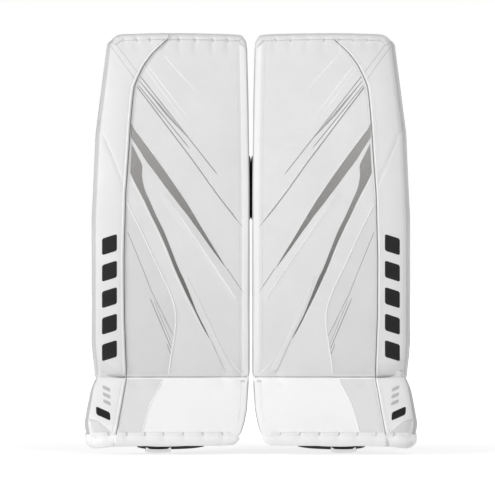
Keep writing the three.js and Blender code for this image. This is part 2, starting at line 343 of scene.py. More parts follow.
def band_material():
    """The printed bands: mid grey at the top, darkening towards their pointed lower ends."""
    look = Look("trim_grey")
    height = look.height()
    scuff = look.noise(150, 5, 0.7)
    share = look.math("ADD", look.math("MULTIPLY", height, 2.2), 0.2)
    low_greys = (0.02, grey(0.09, 0.01)), (0.30, grey(0.12, 0.02))
    base = look.ramp(share, *low_greys, (0.62, grey(0.22, 0.02)), (0.85, grey(0.28, 0.02)))
    base = look.mix(look.ramp(scuff, (0.55, 0.0), (0.8, 0.35)), base, grey(0.44))
    look.bump(look.cells(1150), 0.00014, 0.45)
    look.finish(base, look.ramp(scuff, (0.3, 0.38), (0.7, 0.52)), 0.0, 0.45)


leather("white_cover", 0.61, 0.645, 0.54)
# a slightly lighter copy of the white cover, painted light, used on the roll and elsewhere
leather("white_bright", 0.625, 0.655, 0.56)
# a lighter copy of the white leather: a painted highlight along the landing edge and the rim of the roll seam
leather("white_edge", 0.72, 0.75, 0.64)
# a still lighter copy of the white leather: painted highlights on raised seams and embossed lines
leather("pale_line", 0.78, 0.81, 0.70)
# lighter copies of the white leather for the boot and its roll: painted light, as the boot's upturned face
# catches more of the top light
leather("white_boot", 0.85, 0.88, 0.76)
# the toe binding: the boot's lighter, painted-light white, with painted shade greying its foot
leather("toe_white", 0.85, 0.88, 0.70, painted_foot_shade=(-0.2755, -0.247))
leather("grey_panel", 0.575, 0.61, 0.50)
# a grey for the outer sides: painted shade where they turn away from the light
leather("grey_gusset", 0.48, 0.53, 0.44)
leather("white_roll", 0.77, 0.80, 0.68)
leather("pale_panel", 0.70, 0.73, 0.62)
leather("black_cover", 0.012, 0.020, 0.060, (0.38, 0.55))
leather("black_trim", 0.006, 0.009, 0.03, (0.5, 0.62), 1.2, specular=0.2)
band_material()
leather("dark_line", 0.20, 0.25, 0.32, (0.5, 0.6), 1.4)
# a grey for painted shade: the darker wedge, the panel groove and the fold line
leather("wedge_grey", 0.26, 0.32, 0.36, (0.5, 0.6), 1.2)
# grey lines: printed bars, and painted shade along grooves, the knee crease and the gap at the landing edge
leather("soft_line", 0.42, 0.50, 0.56, (0.5, 0.6), 1.4)
leather("seam_strip", 0.62, 0.68, 0.56, (0.5, 0.6))
knitted("black_liner", 0.016, 0.030, 380, 0.35)
woven("knee_fabric", 0.014, 0.024, 190, 190, (0.55, 0.75), 0.2)
knitted("grey_cushion", 0.10, 0.17, 330, 0.4)
foam("foam", 0.55)
woven("black_webbing", 0.016, 0.035, 150, 260, (0.55, 0.75), 0.3, 0.0005)
woven("white_webbing", 0.84, 0.92, 150, 260, (0.6, 0.8), 0.2, 0.0005)
hooked("hook_tab", 0.02)
woven("thread", 0.60, 0.74, 420, 420, (0.5, 0.7), 0.1, 0.0002)
woven("grey_thread", 0.26, 0.36, 420, 420, (0.5, 0.7), 0.1, 0.0002)

# ---------------------------------------------------------------- floor

FLOOR_RADIUS = 40
FLOOR_CORNERS = 96
floor_mesh = bpy.data.meshes.new("floor")
angles = [2 * math.pi * k / FLOOR_CORNERS for k in range(FLOOR_CORNERS)]
rim = [(centre_x + FLOOR_RADIUS * math.cos(a), FLOOR_RADIUS * math.sin(a), floor_z - 0.0005) for a in angles]
floor_mesh.from_pydata(rim, [], [list(range(FLOOR_CORNERS))])
floor = bpy.data.objects.new("floor", floor_mesh)
scene.collection.objects.link(floor)
floor_material()
floor_mesh.materials.append(LOOKS["studio_floor"])

# ---------------------------------------------------------------- pad space

# The heights of the two flex lines and of the boot's lower edge.
BOOT_BREAK = 121.0
KNEE_BREAK = 546.0
BOOT_FOOT = 4.0

# The lean of the face: the boot kicks forward, and the thigh curves back above a start height.
BOOT_LEAN = 0.7
THIGH_LEAN_START = 430.0
THIGH_LEAN_BACK = 55.0
THIGH_LENGTH = 296.0

# How much the boot is cut away at its top for each millimetre behind or in front of the face.
BREAK_NOTCH = 0.33
FRONT_NOTCH = 0.12

# The outer roll: how proud it stands, its slope, and the radii of its two edges and of the landing edge.
ROLL_RISE = 8.0
ROLL_SLOPE = math.radians(7.5)
ROLL_SHOULDER = 2.8
ROLL_CORNER = 15.0
EDGE_ROUND = 5.0

# Depths of the liner's back and of the covers' back edges, and the spacing of the liner's quilting.
LINER = 50.0
COVER_BACK = 46.0
GUSSET_BACK = 45.0
QUILT = 27.0

# How thick a cover and a binding are, how far trim reaches in, and a binding's radius and back depth.
COVER = 1.8
SEWN_IN = 0.9
BINDING = 1.7
BINDING_ROUND = 5.0
BINDING_BACK = LINER + 1.2

# The cloth simulation that swells the padded pieces.
PUFF_PRESSURE = 4.0
PUFF_FRAMES = 20


def face_depth(z):
    """How far back the face lies at each height."""
    z = np.asarray(z, float)
    boot = -BOOT_LEAN * np.clip(BOOT_BREAK - z, 0, None)
    thigh = THIGH_LEAN_BACK * (np.clip(z - THIGH_LEAN_START, 0, None) / THIGH_LENGTH) ** 1.6
    return boot + thigh


def to_row(side, points):
    """Pad-space millimetres to row-frame metres."""
    joint = JOINTS[f"{side}_boot_flex"]
    axis = np.array(joint["axis"], float)
    across = -axis if side == "left" else axis
    back = np.array([-axis[1], axis[0], 0.0])
    back = back if back[1] > 0 else -back
    p = np.asarray(points, float) / 1000
    lift = np.array([0, 0, 1.0])
    origin = np.array(joint["pos_m"], float)
    return origin + p[:, :1] * across + p[:, 1:2] * back + (p[:, 2:] - BOOT_BREAK / 1000) * lift


def profile(points, blur=0.0):
    """An edge as a function of height, rounded over about blur millimetres."""
    z, u = np.array(points, float).T
    grid = np.arange(z[0], z[-1] + 0.5, 1.0)
    values = np.interp(grid, z, u)
    if blur:
        reach = int(3 * blur)
        kernel = np.exp(-0.5 * (np.arange(-reach, reach + 1) / blur) ** 2)
        values = np.pad(values, reach, mode="reflect", reflect_type="odd")
        values = np.convolve(values, kernel / kernel.sum(), "valid")
    return lambda height: np.interp(height, grid, values)


INNER_EDGE = profile([
    (2, -100), (12, -111.5), (24, -120.5), (42, -127.3), (64, -132.6), (117, -138.8), (128, -140.6),
    (698, -140.4), (709, -138.6), (717, -134.5), (724, -124),
], 2.0)
OUTER_EDGE = profile([
    (2, 141), (14, 147), (42, 151), (74, 144.5), (105, 137.5), (117, 131), (125, 128.5), (152, 131.5),
    (180, 134), (400, 134), (546, 126.5), (706, 104), (720, 90),
], 3.0)
SHIN_SEAM = profile([
    (121, 77), (221, 80.7), (326, 81.6), (442, 78.5), (486, 75), (537, 71), (564, 69.2), (602, 65.3),
    (630, 61.5), (646, 54.9), (668.5, 43.5), (689, 28.3), (710, 5.5), (720, -5),
], 4.0)
BOOT_SEAM = profile([(2, 104), (121, 76.5)])


def resample(points, step=3.0, count=None):
    """The path with even steps, or with a given number of points."""
    points = np.asarray(points, float)
    length = np.concatenate([[0], np.cumsum(np.linalg.norm(np.diff(points, axis=0), axis=1))])
    count = count or max(2, int(round(length[-1] / step)) + 1)
    at = np.linspace(0, length[-1], count)
    return np.stack([np.interp(at, length, column) for column in points.T], axis=1)


def spline(points, step=3.0):
    """A smooth path through the points, with even steps."""
    p = np.asarray(points, float)
    p = np.vstack([2 * p[0] - p[1], p, 2 * p[-1] - p[-2]])
    t = np.linspace(0, 1, 16, endpoint=False)[:, None]
    parts = [
        0.5 * (2 * b + (c - a) * t + (2 * a - 5 * b + 4 * c - d) * t**2 + (3 * b - a - 3 * c + d) * t**3)
        for a, b, c, d in zip(p[:-3], p[1:-2], p[2:-1], p[3:])
    ]
    return resample(np.vstack([*parts, p[-2:-1]]), step)


def span(low, high, step):
    """Heights from low to high, with a few closer ones at each end for a rolled edge."""
    ends = (0.5, 1.4, 2.8)
    middle = np.linspace(low + ends[-1] + 1.5, high - ends[-1] - 1.5, max(2, int((high - low) / step)))
    return np.concatenate([[low], low + np.array(ends), middle, high - np.array(ends[::-1]), [high]])


def rolled_end(z, low, high):
    """How far a cover curls back at its two ends."""
    radius = 2.0
    near = np.minimum(z - low, high - z)
    turn = np.clip(1 - near / radius, 0, 1)
    return radius * (1 - np.sqrt(1 - turn**2))


def dents(u, z, marks, depth, width, height):
    """Soft hollows centred on the marks."""
    total = np.zeros(np.broadcast(u, z).shape)
    for mark_u, mark_z in marks:
        total += depth * np.exp(-(((u - mark_u) / width) ** 2) - ((z - mark_z) / height) ** 2)
    return total


SHIN_ENDS = (119.8, 760)  # only the end at the break curls, so the other end lies out of reach
BOOT_ENDS = (-40, 119.4)
TOP_LACES = [(u, 708.0) for u in (78, 56, 32, 7.4, -19.3, -47.9, -78.3, -104.9)]
TOE_LACES = [(u, 21.0) for u in (112, 80.8, 48.5, 16.2, -18.2, -52.4, -86.7)]


def soft(u, z, size):
    """The slight unevenness of leather stretched over foam."""
    wide = 0.32 * np.sin(u / 23 + z / 61) + 0.28 * np.sin(z / 37 - u / 49 + 1.3)
    return size * (wide + 0.18 * np.sin(u / 11.5 + 0.7 + z / 83))


# ---------------------------------------------------------------- the outside surfaces


def face_share(u, z, seam):
    """How far a point lies across a face, from 0 at the landing edge to 1 at the roll seam."""
    inner = INNER_EDGE(z)
    return np.clip((u - inner) / (seam(z) - inner), 0, 1)


def over_edge(d, u, z):
    """The depth d, turned back round the landing edge."""
    turn = np.clip((INNER_EDGE(z) + EDGE_ROUND - u) / EDGE_ROUND, 0, 1)
    return d * (1 - turn**2) + EDGE_ROUND * (1 - np.sqrt(1 - turn**2))


def face_front(u, z):
    """Depth of the shin and thigh face: crowned, with a soft ridge and lacing puckers."""
    t = face_share(u, z, SHIN_SEAM)
    d = -3.2 * (1 - np.clip(1 - t / 0.45, 0, 1) ** 2.4) + soft(u, z, 0.8)
    ridge = distance(u, z, RIDGE)
    d -= 1.3 * np.exp(-((ridge / 5.5) ** 2))
    d += 1.0 * np.exp(-(((z - KNEE_BREAK) / 7) ** 2)) * np.clip(1 - t * 1.6, 0, 1)
    d += dents(u, z - 0 * u, TOP_LACES, 1.8, 4.5, 15)
    d += dents(u, z, [(-128, 128), (-96, 126), (66, 126)], 2.2, 9, 9)
    return over_edge(d, u, z) + rolled_end(z, *SHIN_ENDS)


def boot_front(u, z):
    """Depth of the boot's face: crowned, with puckers at the lacing and the break."""
    t = face_share(u, z, BOOT_SEAM)
    d = -3.4 * (1 - np.clip(1 - t / 0.5, 0, 1) ** 2.2) + soft(u, z + 40, 1.0)
    d += dents(u, z, TOE_LACES, 2.0, 6, 9)
    d += dents(u, z, [(-126, 112), (-92, 113), (60, 112), (20, 113)], 2.2, 10, 9)
    return over_edge(d, u, z) + rolled_end(z, *BOOT_ENDS)


def roll_shape(u, seam, outer):
    """Depth of an outer roll: proud at the seam, sloping a little to a round outside edge."""
    peak = seam + ROLL_SHOULDER
    centre_u = outer - ROLL_CORNER
    rim = outer - ROLL_CORNER * (1 - math.sin(ROLL_SLOPE))
    t = np.clip((u - peak) / (rim - peak), 0, 1)
    along = np.clip(u, peak, rim)
    d = -ROLL_RISE + math.tan(ROLL_SLOPE) * (along - peak) - 1.6 * np.sin(math.pi * t) ** 0.8
    shoulder = np.clip((peak - u) / ROLL_SHOULDER, 0, 1)
    d = d + ROLL_SHOULDER * (1 - np.sqrt(1 - shoulder**2))
    centre_d = -ROLL_RISE + math.tan(ROLL_SLOPE) * (rim - peak) + ROLL_CORNER * math.cos(ROLL_SLOPE)
    bend = np.clip((u - centre_u) / ROLL_CORNER, 0, 1)
    round_d = centre_d - ROLL_CORNER * np.sqrt(1 - bend**2)
    return np.where(u > rim, round_d, d)


def below(u, z, a, b):
    """Distance below the line from a to b, or 0 above it."""
    (au, az), (bu, bz) = a, b
    length = math.hypot(bu - au, bz - az)
    return np.clip(((u - au) * (bz - az) - (z - az) * (bu - au)) / length, 0, None)


def roll_front(u, z):
    """Depth of the shin's and thigh's roll, with its cut foot, the nick at the knee and its creases."""
    d = roll_shape(u, SHIN_SEAM(z) + 0.5, OUTER_EDGE(z)) + soft(u, z + 90, 0.7)
    facet = np.maximum(below(u, z, (82.7, 123), (118.8, 150)), below(u, z, (118.8, 150), (150, 157)) * 0.8)
    d += 0.42 * (np.sqrt(facet**2 + 9) - 3)
    nick = np.exp(-(((z - 566 + (u - 128) * 0.9) / 4.5) ** 2)) * np.clip((u - 112) / 14, 0, 1)
    d += 4.0 * nick
    d += 1.4 * np.exp(-((distance(u, z, KNEE_CREASE) / 2.8) ** 2))
    d += dents(u, z, TOP_LACES, 1.6, 5, 12)
    return d + rolled_end(z, *SHIN_ENDS)


def boot_roll_front(u, z):
    """Depth of the boot's roll, with its cut foot."""
    d = roll_shape(u, BOOT_SEAM(z) + 0.5, OUTER_EDGE(z)) + soft(u, z + 150, 0.8)
    facet = np.maximum(below(u, z, (107.4, 22), (130.3, 46)), below(u, z, (130.3, 46), (170, 55)) * 0.9)
    d += 0.4 * (np.sqrt(facet**2 + 9) - 3)
    d += dents(u, z, TOE_LACES, 1.6, 6, 8)
    return d + rolled_end(z, *BOOT_ENDS)


def distance(u, z, path):
    """Distance to a path, the shortest of all its segments."""
    shape = np.broadcast(u, z).shape
    flat = np.stack([np.broadcast_to(u, shape).ravel(), np.broadcast_to(z, shape).ravel()], axis=1)
    best = np.full(len(flat), 1e9)
    for a, b in zip(path[:-1], path[1:]):
        step = b - a
        t = np.clip(((flat - a) @ step) / (step @ step), 0, 1)
        best = np.minimum(best, np.linalg.norm(flat - a - t[:, None] * step, axis=1))
    return best.reshape(shape)


RIDGE = resample([(9.1, 437.2), (-15.6, 402.9), (-74.6, 324.8), (-116.3, 260.3)], 40)
KNEE_CREASE = resample([(128.5, 573), (121.1, 553.6), (105.1, 515.3), (80.6, 455)], 20)

# ---------------------------------------------------------------- shapes


def lean(u, d, z):
    """Points on the leaning body of the pad."""
    u, d, z = np.broadcast_arrays(u, d, z)
    return np.stack([u, d + face_depth(z), z], axis=-1)


def upright(u, y, z):
    """Points on the pieces behind the leg, which stay square to the ground."""
    return np.stack(np.broadcast_arrays(u, y, z), axis=-1).astype(float)


def slab(front, back):
    """A closed sheet between two grids of the same size."""
    rows, columns = front.shape[:2]
    count = rows * columns
    verts = np.concatenate([front.reshape(-1, 3), back.reshape(-1, 3)])
    index = np.arange(count).reshape(rows, columns)
    corners = [index[:-1, :-1], index[1:, :-1], index[1:, 1:], index[:-1, 1:]]
    quads = np.stack(corners, axis=-1).reshape(-1, 4)
    ring = np.concatenate([index[0, :], index[1:, -1], index[-1, -2::-1], index[-2:0:-1, 0]])
    nxt = np.roll(ring, -1)
    sides = np.stack([ring, nxt, nxt + count, ring + count], axis=1)
    return verts, np.concatenate([quads, quads[:, ::-1] + count, sides]).tolist()


def normals(grid):
    """Unit normals of a grid of points."""
    down = np.gradient(grid, axis=0)
    right = np.gradient(grid, axis=1)
    n = np.cross(down, right)
    return n / np.maximum(np.linalg.norm(n, axis=-1, keepdims=True), 1e-9)


def thick(grid, thickness):
    """A closed sheet whose outer side is the grid."""
    n = normals(grid)
    if n[..., 1].mean() < 0:
        n = -n
    return slab(grid, grid + n * thickness)


def rings(loops):
    """A closed solid from a stack of loops, with capped ends."""
    loops = np.asarray(loops, float)
    rows, columns = loops.shape[:2]
    index = np.arange(rows * columns).reshape(rows, columns)
    nxt = np.roll(index, -1, axis=1)
    quads = np.stack([index[:-1], nxt[:-1], nxt[1:], index[1:]], axis=-1).reshape(-1, 4).tolist()
    return loops.reshape(-1, 3), quads + [index[0, ::-1].tolist(), index[-1].tolist()]


def tube(path, radius, sides=8, squeeze=1.0):
    """A cord or piping along a path of points (u, y, z), with rounded ends."""
    path = np.asarray(path, float)
    along = np.gradient(path, axis=0)
    along /= np.linalg.norm(along, axis=1, keepdims=True)
    side = np.cross(along, (0.13, 0.21, 0.97) if abs(along[:, 2]).mean() < 0.7 else (0.1, 0.97, 0.12))
    side /= np.linalg.norm(side, axis=1, keepdims=True)
    other = np.cross(along, side)
    size = np.ones(len(path))
    size[0] = size[-1] = 0.55
    angle = 2 * math.pi * np.arange(sides) / sides
    reach = radius * size[:, None, None]
    loops = path[:, None] + reach * np.cos(angle)[None, :, None] * side[:, None]
    return rings(loops + squeeze * reach * np.sin(angle)[None, :, None] * other[:, None])


def merged(*shapes):
    """Several shapes as one."""
    verts, faces, base = [], [], 0
    for points, polygons in shapes:
        verts.append(points)
        faces += [[base + k for k in polygon] for polygon in polygons]
        base += len(points)
    return np.concatenate(verts), faces


def across_of(path):
    """Unit vectors square to a path in the u-z plane."""
    step = np.gradient(path, axis=0)
    step /= np.maximum(np.linalg.norm(step, axis=1, keepdims=True), 1e-9)
    return np.stack([-step[:, 1], step[:, 0]], axis=1)


def ribbon(path, width, height, front, taper):
    """A rounded raised line along a path (u, z) on a front surface, thinner over a taper at each end."""
    n = across_of(path)
    length = np.concatenate([[0], np.cumsum(np.linalg.norm(np.diff(path, axis=0), axis=1))])
    size = np.minimum(1, length / taper[0]) * np.minimum(1, (length[-1] - length) / taper[1])
    size = 0.12 + 0.88 * size
    w = np.array([-1, -0.6, 0, 0.6, 1.0])
    q = path[:, None] + n[:, None] * (w * width / 2)[None, :, None] * size[:, None, None]
    d = front(q[..., 0], q[..., 1])
    top = d - height * np.sqrt(np.maximum(1 - w**2, 0.0))[None, :] * size[:, None] - 0.05
    return slab(lean(q[..., 0], top, q[..., 1]), lean(q[..., 0], d + SEWN_IN, q[..., 1]))


def lines(front, *rows):
    """Raised lines on a front surface, each a path, a width, a height and two tapers."""
    return merged(*[ribbon(path, width, height, front, taper) for path, width, height, taper in rows])


def patch(edge_a, edge_b, front, proud, spacing, step=3.0):
    """A thin panel between two edges (u, z) on a front surface: sewn-on trim, print, or a patch of painted
    light or shade.
    """
    a = resample(edge_a, step)
    b = resample(edge_b, count=len(a))
    width = np.linalg.norm(b - a, axis=1)
    bevel = np.clip(0.7 / np.maximum(width, 0.01), 0, 0.2)
    inner = np.linspace(0, 1, max(3, int(width.max() / spacing)))
    t = np.concatenate([np.zeros(1), inner, np.ones(1)])[None, :]
    share = bevel[:, None] + t * (1 - 2 * bevel[:, None])
    share[:, 0], share[:, -1] = 0, 1
    lift = np.full(share.shape, proud)
    lift[:, 0] = lift[:, -1] = -0.35
    lift[0], lift[-1] = np.minimum(lift[0], 0.1), np.minimum(lift[-1], 0.1)
    q = a[:, None] + (b - a)[:, None] * share[..., None]
    d = front(q[..., 0], q[..., 1])
    return slab(lean(q[..., 0], d - lift, q[..., 1]), lean(q[..., 0], d + SEWN_IN, q[..., 1]))


def stitches(path, front, pitch=4.2, length=2.9, width=0.85, height=0.55, put=lean):
    """A row of thread stitches along a path (u, z) on a front surface."""
    centres = resample(path, pitch)
    n = across_of(centres)
    step = np.stack([n[:, 1], -n[:, 0]], axis=1)
    shape = np.array([
        (-0.5, 0, -0.3), (-0.3, -0.5, 0), (-0.3, 0, 1), (-0.3, 0.5, 0), (-0.3, 0, -0.8),
        (0.3, -0.5, 0), (0.3, 0, 1), (0.3, 0.5, 0), (0.3, 0, -0.8), (0.5, 0, -0.3),
    ])
    around = [(1, 2), (2, 3), (3, 4), (4, 1)]
    polygons = [[0, a, b] for a, b in around] + [[a, a + 4, b + 4, b] for a, b in around]
    polygons += [[9, b + 4, a + 4] for a, b in around]
    q = centres[:, None] + step[:, None] * (shape[:, 0] * length)[None, :, None]
    q = q + n[:, None] * (shape[:, 1] * width)[None, :, None]
    d = front(q[..., 0], q[..., 1]) - shape[None, :, 2] * height - 0.1
    points = put(q[..., 0], d, q[..., 1]).reshape(-1, 3)
    faces = [[10 * k + v for v in polygon] for k in range(len(centres)) for polygon in polygons]
    return points, faces


def pillow(path, low, high, thickness, quilt, step=6.0, ends=2.6, put=upright):
    """A padded panel: a path (u, y) swept from low to high, pinched on its quilt lines."""
    path = resample(path, 5.0)
    n = across_of(path)
    z = np.linspace(low, high, int((high - low) / step))
    s = np.linspace(-1, 1, len(path))[None, :]
    t = np.linspace(-1, 1, len(z))[:, None]
    size = ((1 - np.abs(s) ** 6) * (1 - np.abs(t) ** 6 * 0.999)) ** 0.5
    for line in quilt:
        size = size * (1 - 0.34 * np.exp(-(((z[:, None] - line) / 4.5) ** 2)))
    half = ends + (thickness / 2 - ends) * size
    return both_sides(path, n, half, z, put)


def both_sides(path, n, half, z, put):
    """A closed sheet as far as half to each side of a path (u, y), at the heights z."""
    u, y = path[None, :, 0], path[None, :, 1]
    across, back = n[None, :, 0] * half, n[None, :, 1] * half
    return slab(put(u + across, y + back, z[:, None]), put(u - across, y - back, z[:, None]))


def block(u, d, z, radius, taper):
    """A firm foam block with rounded edges, drawn in by the taper at its two ends."""
    curl = radius * (1 - np.cos(np.linspace(0, math.pi / 2, 5)))
    middle = np.linspace(z[0] + radius, z[1] - radius, 14)[1:-1]
    heights = np.concatenate([z[0] + curl, middle, z[1] - curl[::-1]])
    loops = []
    for height in heights:
        near = min(height - z[0], z[1] - height, radius)
        shrink = radius - math.sqrt(max(radius**2 - (radius - near) ** 2, 0))
        shift = taper * abs(2 * (height - z[0]) / (z[1] - z[0]) - 1) ** 3
        u0, u1, d0, d1 = u[0] + shrink, u[1] - shift - shrink, d[0] + shrink, d[1] - shrink
        r = min(radius, (u1 - u0) / 2.2, (d1 - d0) / 2.2)
        loop = []
        right, left, near_d, far_d = u1 - r, u0 + r, d0 + r, d1 - r
        for quarter, corner in enumerate(((right, near_d), (right, far_d), (left, far_d), (left, near_d))):
            for k in range(5):
                a = math.radians(90 * (quarter - 1) + 22.5 * k)
                loop.append((corner[0] + r * math.cos(a), corner[1] + r * math.sin(a)))
        loop = resample([*loop, loop[0]], count=57)[:-1]
        loops.append(lean(loop[:, 0], loop[:, 1], height))
    return rings(loops)


def strip(path, low, high, thickness, put=upright, step=4.0, rows=9):
    """A flat strap along a path (u, y), with a thicker woven edge."""
    path = spline(path, step)
    n = across_of(path)
    z = np.linspace(low, high, rows)
    t = np.linspace(-1, 1, rows)[:, None]
    half = thickness / 2 * (0.82 + 0.18 * np.exp(-(((np.abs(t) - 0.86) / 0.08) ** 2)))
    half = np.where(np.abs(t) > 0.99, thickness * 0.22, half) + np.zeros((1, len(path)))
    return both_sides(path, n, half, z, put)


def link_object(name, points, faces):
    """A new mesh object in the scene."""
    mesh = bpy.data.meshes.new(name)
    mesh.from_pydata(points.tolist(), [], faces)
    obj = bpy.data.objects.new(name, mesh)
    scene.collection.objects.link(obj)
    return obj


def evaluated(obj):
    """The object's mesh with its modifiers applied, as a shape."""
    graph = bpy.context.evaluated_depsgraph_get()
    mesh = bpy.data.meshes.new_from_object(obj.evaluated_get(graph))
    points = np.array([v.co for v in mesh.vertices], float)
    faces = [list(polygon.vertices) for polygon in mesh.polygons]
    bpy.data.meshes.remove(mesh)
    return points, faces


def forget(obj):
    """Takes a helper object out of the scene."""
    mesh = obj.data
    bpy.data.objects.remove(obj)
    bpy.data.meshes.remove(mesh)


def puffed(shape, voxel, cap):
    """The shape as padded fabric: remeshed, swollen by a cloth simulation as far as cap, then smoothed."""
    obj = link_object("puff", shape[0] / 1000, shape[1])
    remesh = obj.modifiers.new("remesh", "REMESH")
    remesh.mode = "VOXEL"
    remesh.voxel_size = voxel / 1000
    points, faces = evaluated(obj)
    forget(obj)
    obj = link_object("puff", points, faces)
    cloth = obj.modifiers.new("cloth", "CLOTH")
    cloth.settings.quality = 5
    cloth.settings.use_pressure = True
    cloth.settings.uniform_pressure_force = PUFF_PRESSURE
    cloth.settings.effector_weights.gravity = 0
    cloth.point_cache.frame_start = 1
    cloth.point_cache.frame_end = PUFF_FRAMES
    for step in range(1, PUFF_FRAMES + 1):
        scene.frame_set(step)
    moved, _ = evaluated(obj)
    forget(obj)
    scene.frame_set(1)
    shift = moved - points
    far = np.linalg.norm(shift, axis=1, keepdims=True)
    points = points + shift * np.minimum(1, cap / 1000 / np.maximum(far, 1e-9))
    obj = link_object("puff", points, faces)
    smooth = obj.modifiers.new("smooth", "SUBSURF")
    smooth.levels = 1
    points, faces = evaluated(obj)
    forget(obj)
    return points * 1000, faces


def place(name, side, body, look, nodes="", bend=None, fill=None):
    """Makes one named piece of one pad. bend names another body and two points; a piece given one is left in
    place unattached, and the body and points are not used.
    """
    points, faces = SHAPES[name]
    obj = link_object(f"{side}_{name}_v", to_row(side, points), faces)
    mesh = obj.data
    work = bmesh.new()
    work.from_mesh(mesh)
    bmesh.ops.remove_doubles(work, verts=work.verts, dist=2e-6)
    bmesh.ops.recalc_face_normals(work, faces=work.faces)
    work.to_mesh(mesh)
    work.free()
    mesh.shade_smooth()
    mesh.set_sharp_from_angle(angle=SHARP_EDGE)
    mesh.materials.append(LOOKS[look])
    if nodes:
        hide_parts(*[f"{side}_{node}" for node in nodes.split()])
    if bend:
        other, start, end = bend
        start, end = to_row(side, np.array([start, end]))
        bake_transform(obj)
    else:
        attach(obj, f"{side}_{body}")


KNEE_BEND = ("thigh", (0, 0, 522), (0, 0, 570))
BOOT_BEND = ("boot", (0, 0, 128), (0, 0, 114))
CALF_BEND = ("calf_wrap", (116, 51, 260), (116, 62, 260))
WING_BEND = ("knee_wing", (108, 62, 466), (108, 73, 466))
SHARP_EDGE = math.radians(38)

# ---------------------------------------------------------------- covers


def face_cover(front, seam, rows):
    """The white cover: tucked in at the roll seam, over the face, round the landing edge and back."""
    z = rows[:, None]
    s, i = seam(z), INNER_EDGE(z)
    t = np.linspace(0, 1, 62)[None, :]
    angle = np.linspace(0, math.pi / 2, 7)[None, 1:]
    flat_u = (s - 1.2) + (i + EDGE_ROUND - s + 1.2) * t
    arc_u = i + EDGE_ROUND * (1 - np.sin(angle))
    u = np.concatenate([s - 0.5, s - 0.5, s - 0.7, flat_u, arc_u * np.ones_like(z)], axis=1)
    d = front(u, z + 0 * u)
    d[:, 0], d[:, 1], d[:, 2] = d[:, 3] + 13, d[:, 3] + 5, d[:, 3] + 0.8
    depth = np.linspace(EDGE_ROUND, COVER_BACK, 10)[None, 1:]
    puff = 1.2 * np.sin(math.pi * (depth - EDGE_ROUND) / (COVER_BACK - EDGE_ROUND))
    side_u = i - puff + soft(depth * 1.4, z, 0.5)
    u = np.concatenate([u, side_u + rolled_end(z, rows[0], rows[-1]) * 0.7], axis=1)
    d = np.concatenate([d, depth + np.zeros_like(z)], axis=1)
    return thick(lean(u, d, z), COVER)


def outer_side(start, back, outer, z):
    """The outer side, from the round edge to the back: u and d."""
    share = np.linspace(0, 1, 8)[None, 1:]
    d = start + (back - start) * share
    return outer + 0.9 * np.sin(math.pi * share) + soft(d * 1.3, z, 0.5), d


def roll_cover(front, seam, rows):
    """The cover of the outer roll: up out of the seam, across, and round the outside edge."""
    z = rows[:, None]
    s, o = seam(z) + 0.5, OUTER_EDGE(z)
    turn = np.linspace(0, math.pi / 2, 5)[None, :]
    shoulder_u = s + ROLL_SHOULDER * (1 - np.cos(turn))
    rim = o - ROLL_CORNER * (1 - math.sin(ROLL_SLOPE))
    peak = s + ROLL_SHOULDER
    flat_u = peak + (rim - peak) * np.linspace(0, 1, 24)[None, 1:]
    bend = np.linspace(ROLL_SLOPE, math.pi / 2 - 0.02, 9)[None, 1:]
    arc_u = o - ROLL_CORNER + ROLL_CORNER * np.sin(bend)
    u = np.concatenate([shoulder_u, flat_u, arc_u], axis=1)
    d = front(u, z + 0 * u)
    lead_u, lead_d = np.repeat(s, 3, axis=1), d[:, :1] + np.array([17, 9, 3])
    side_u, side_d = outer_side(d[:, -1:], COVER_BACK, o, z)
    side_u = side_u - rolled_end(z, rows[0], rows[-1]) * 0.7
    u = np.concatenate([lead_u, u, side_u], axis=1)
    d = np.concatenate([lead_d, d, side_d], axis=1)
    return thick(lean(u, d, z), COVER)


def side_gusset(front, rows):
    """The band of leather let into the outer side, from the round edge to the back, in grey: painted shade
    where the side turns away from the light.
    """
    z = rows[:, None]
    o = OUTER_EDGE(z)
    bend = np.linspace(math.radians(52), math.pi / 2 - 0.02, 7)[None, :]
    u = o - ROLL_CORNER + ROLL_CORNER * np.sin(bend)
    d = front(u, z + 0 * u)
    side_u, side_d = outer_side(d[:, -1:], GUSSET_BACK, o, z)
    shell = lean(np.concatenate([u, side_u], axis=1), np.concatenate([d, side_d], axis=1), z)
    n = normals(shell)
    n = n * np.sign(n[..., :1].mean())
    lift = np.full(shell.shape[:2], 0.45)
    lift[:, 0] = lift[0] = lift[-1] = 0.05
    return slab(shell + n * lift[..., None], shell - n * SEWN_IN)


def notched(shape):
    """A boot piece, cut away at the break, most at its back, so that the boot can flex."""
    u, y, z = shape[0].T
    d = y - face_depth(z)
    share = np.clip((z - BOOT_FOOT) / (BOOT_BREAK - BOOT_FOOT), 0, 1)
    low = z - share * (BREAK_NOTCH * np.clip(d - 1, 0, None) + FRONT_NOTCH * np.clip(-d, 0, None))
    return np.stack([u, d + face_depth(low), low], axis=1), shape[1]


shin_rows = np.union1d(span(119.9, 719.0, 3.2), np.arange(640, 714, 1.6))
roll_boot_rows = span(7.0, 119.3, 3.0)
SHAPES = {
    "face_cover": face_cover(face_front, SHIN_SEAM, shin_rows),
    "boot_face": notched(face_cover(boot_front, BOOT_SEAM, span(BOOT_FOOT, 119.3, 3.0))),
    "roll_cover": roll_cover(roll_front, SHIN_SEAM, shin_rows),
    "boot_roll": notched(roll_cover(boot_roll_front, BOOT_SEAM, roll_boot_rows)),
    "side_gusset": side_gusset(roll_front, shin_rows[3:-6]),
    "boot_side_gusset": notched(side_gusset(boot_roll_front, roll_boot_rows[6:-3])),
}


def cover_front(u, z):
    """The outermost surface of the thigh: face or roll, whichever the point lies on."""
    return np.where(u > SHIN_SEAM(z), roll_front(u, z), face_front(u, z))


def toe_front(u, z):
    """The outermost surface of the boot."""
    return np.where(u > BOOT_SEAM(z), boot_roll_front(u, z), boot_front(u, z))


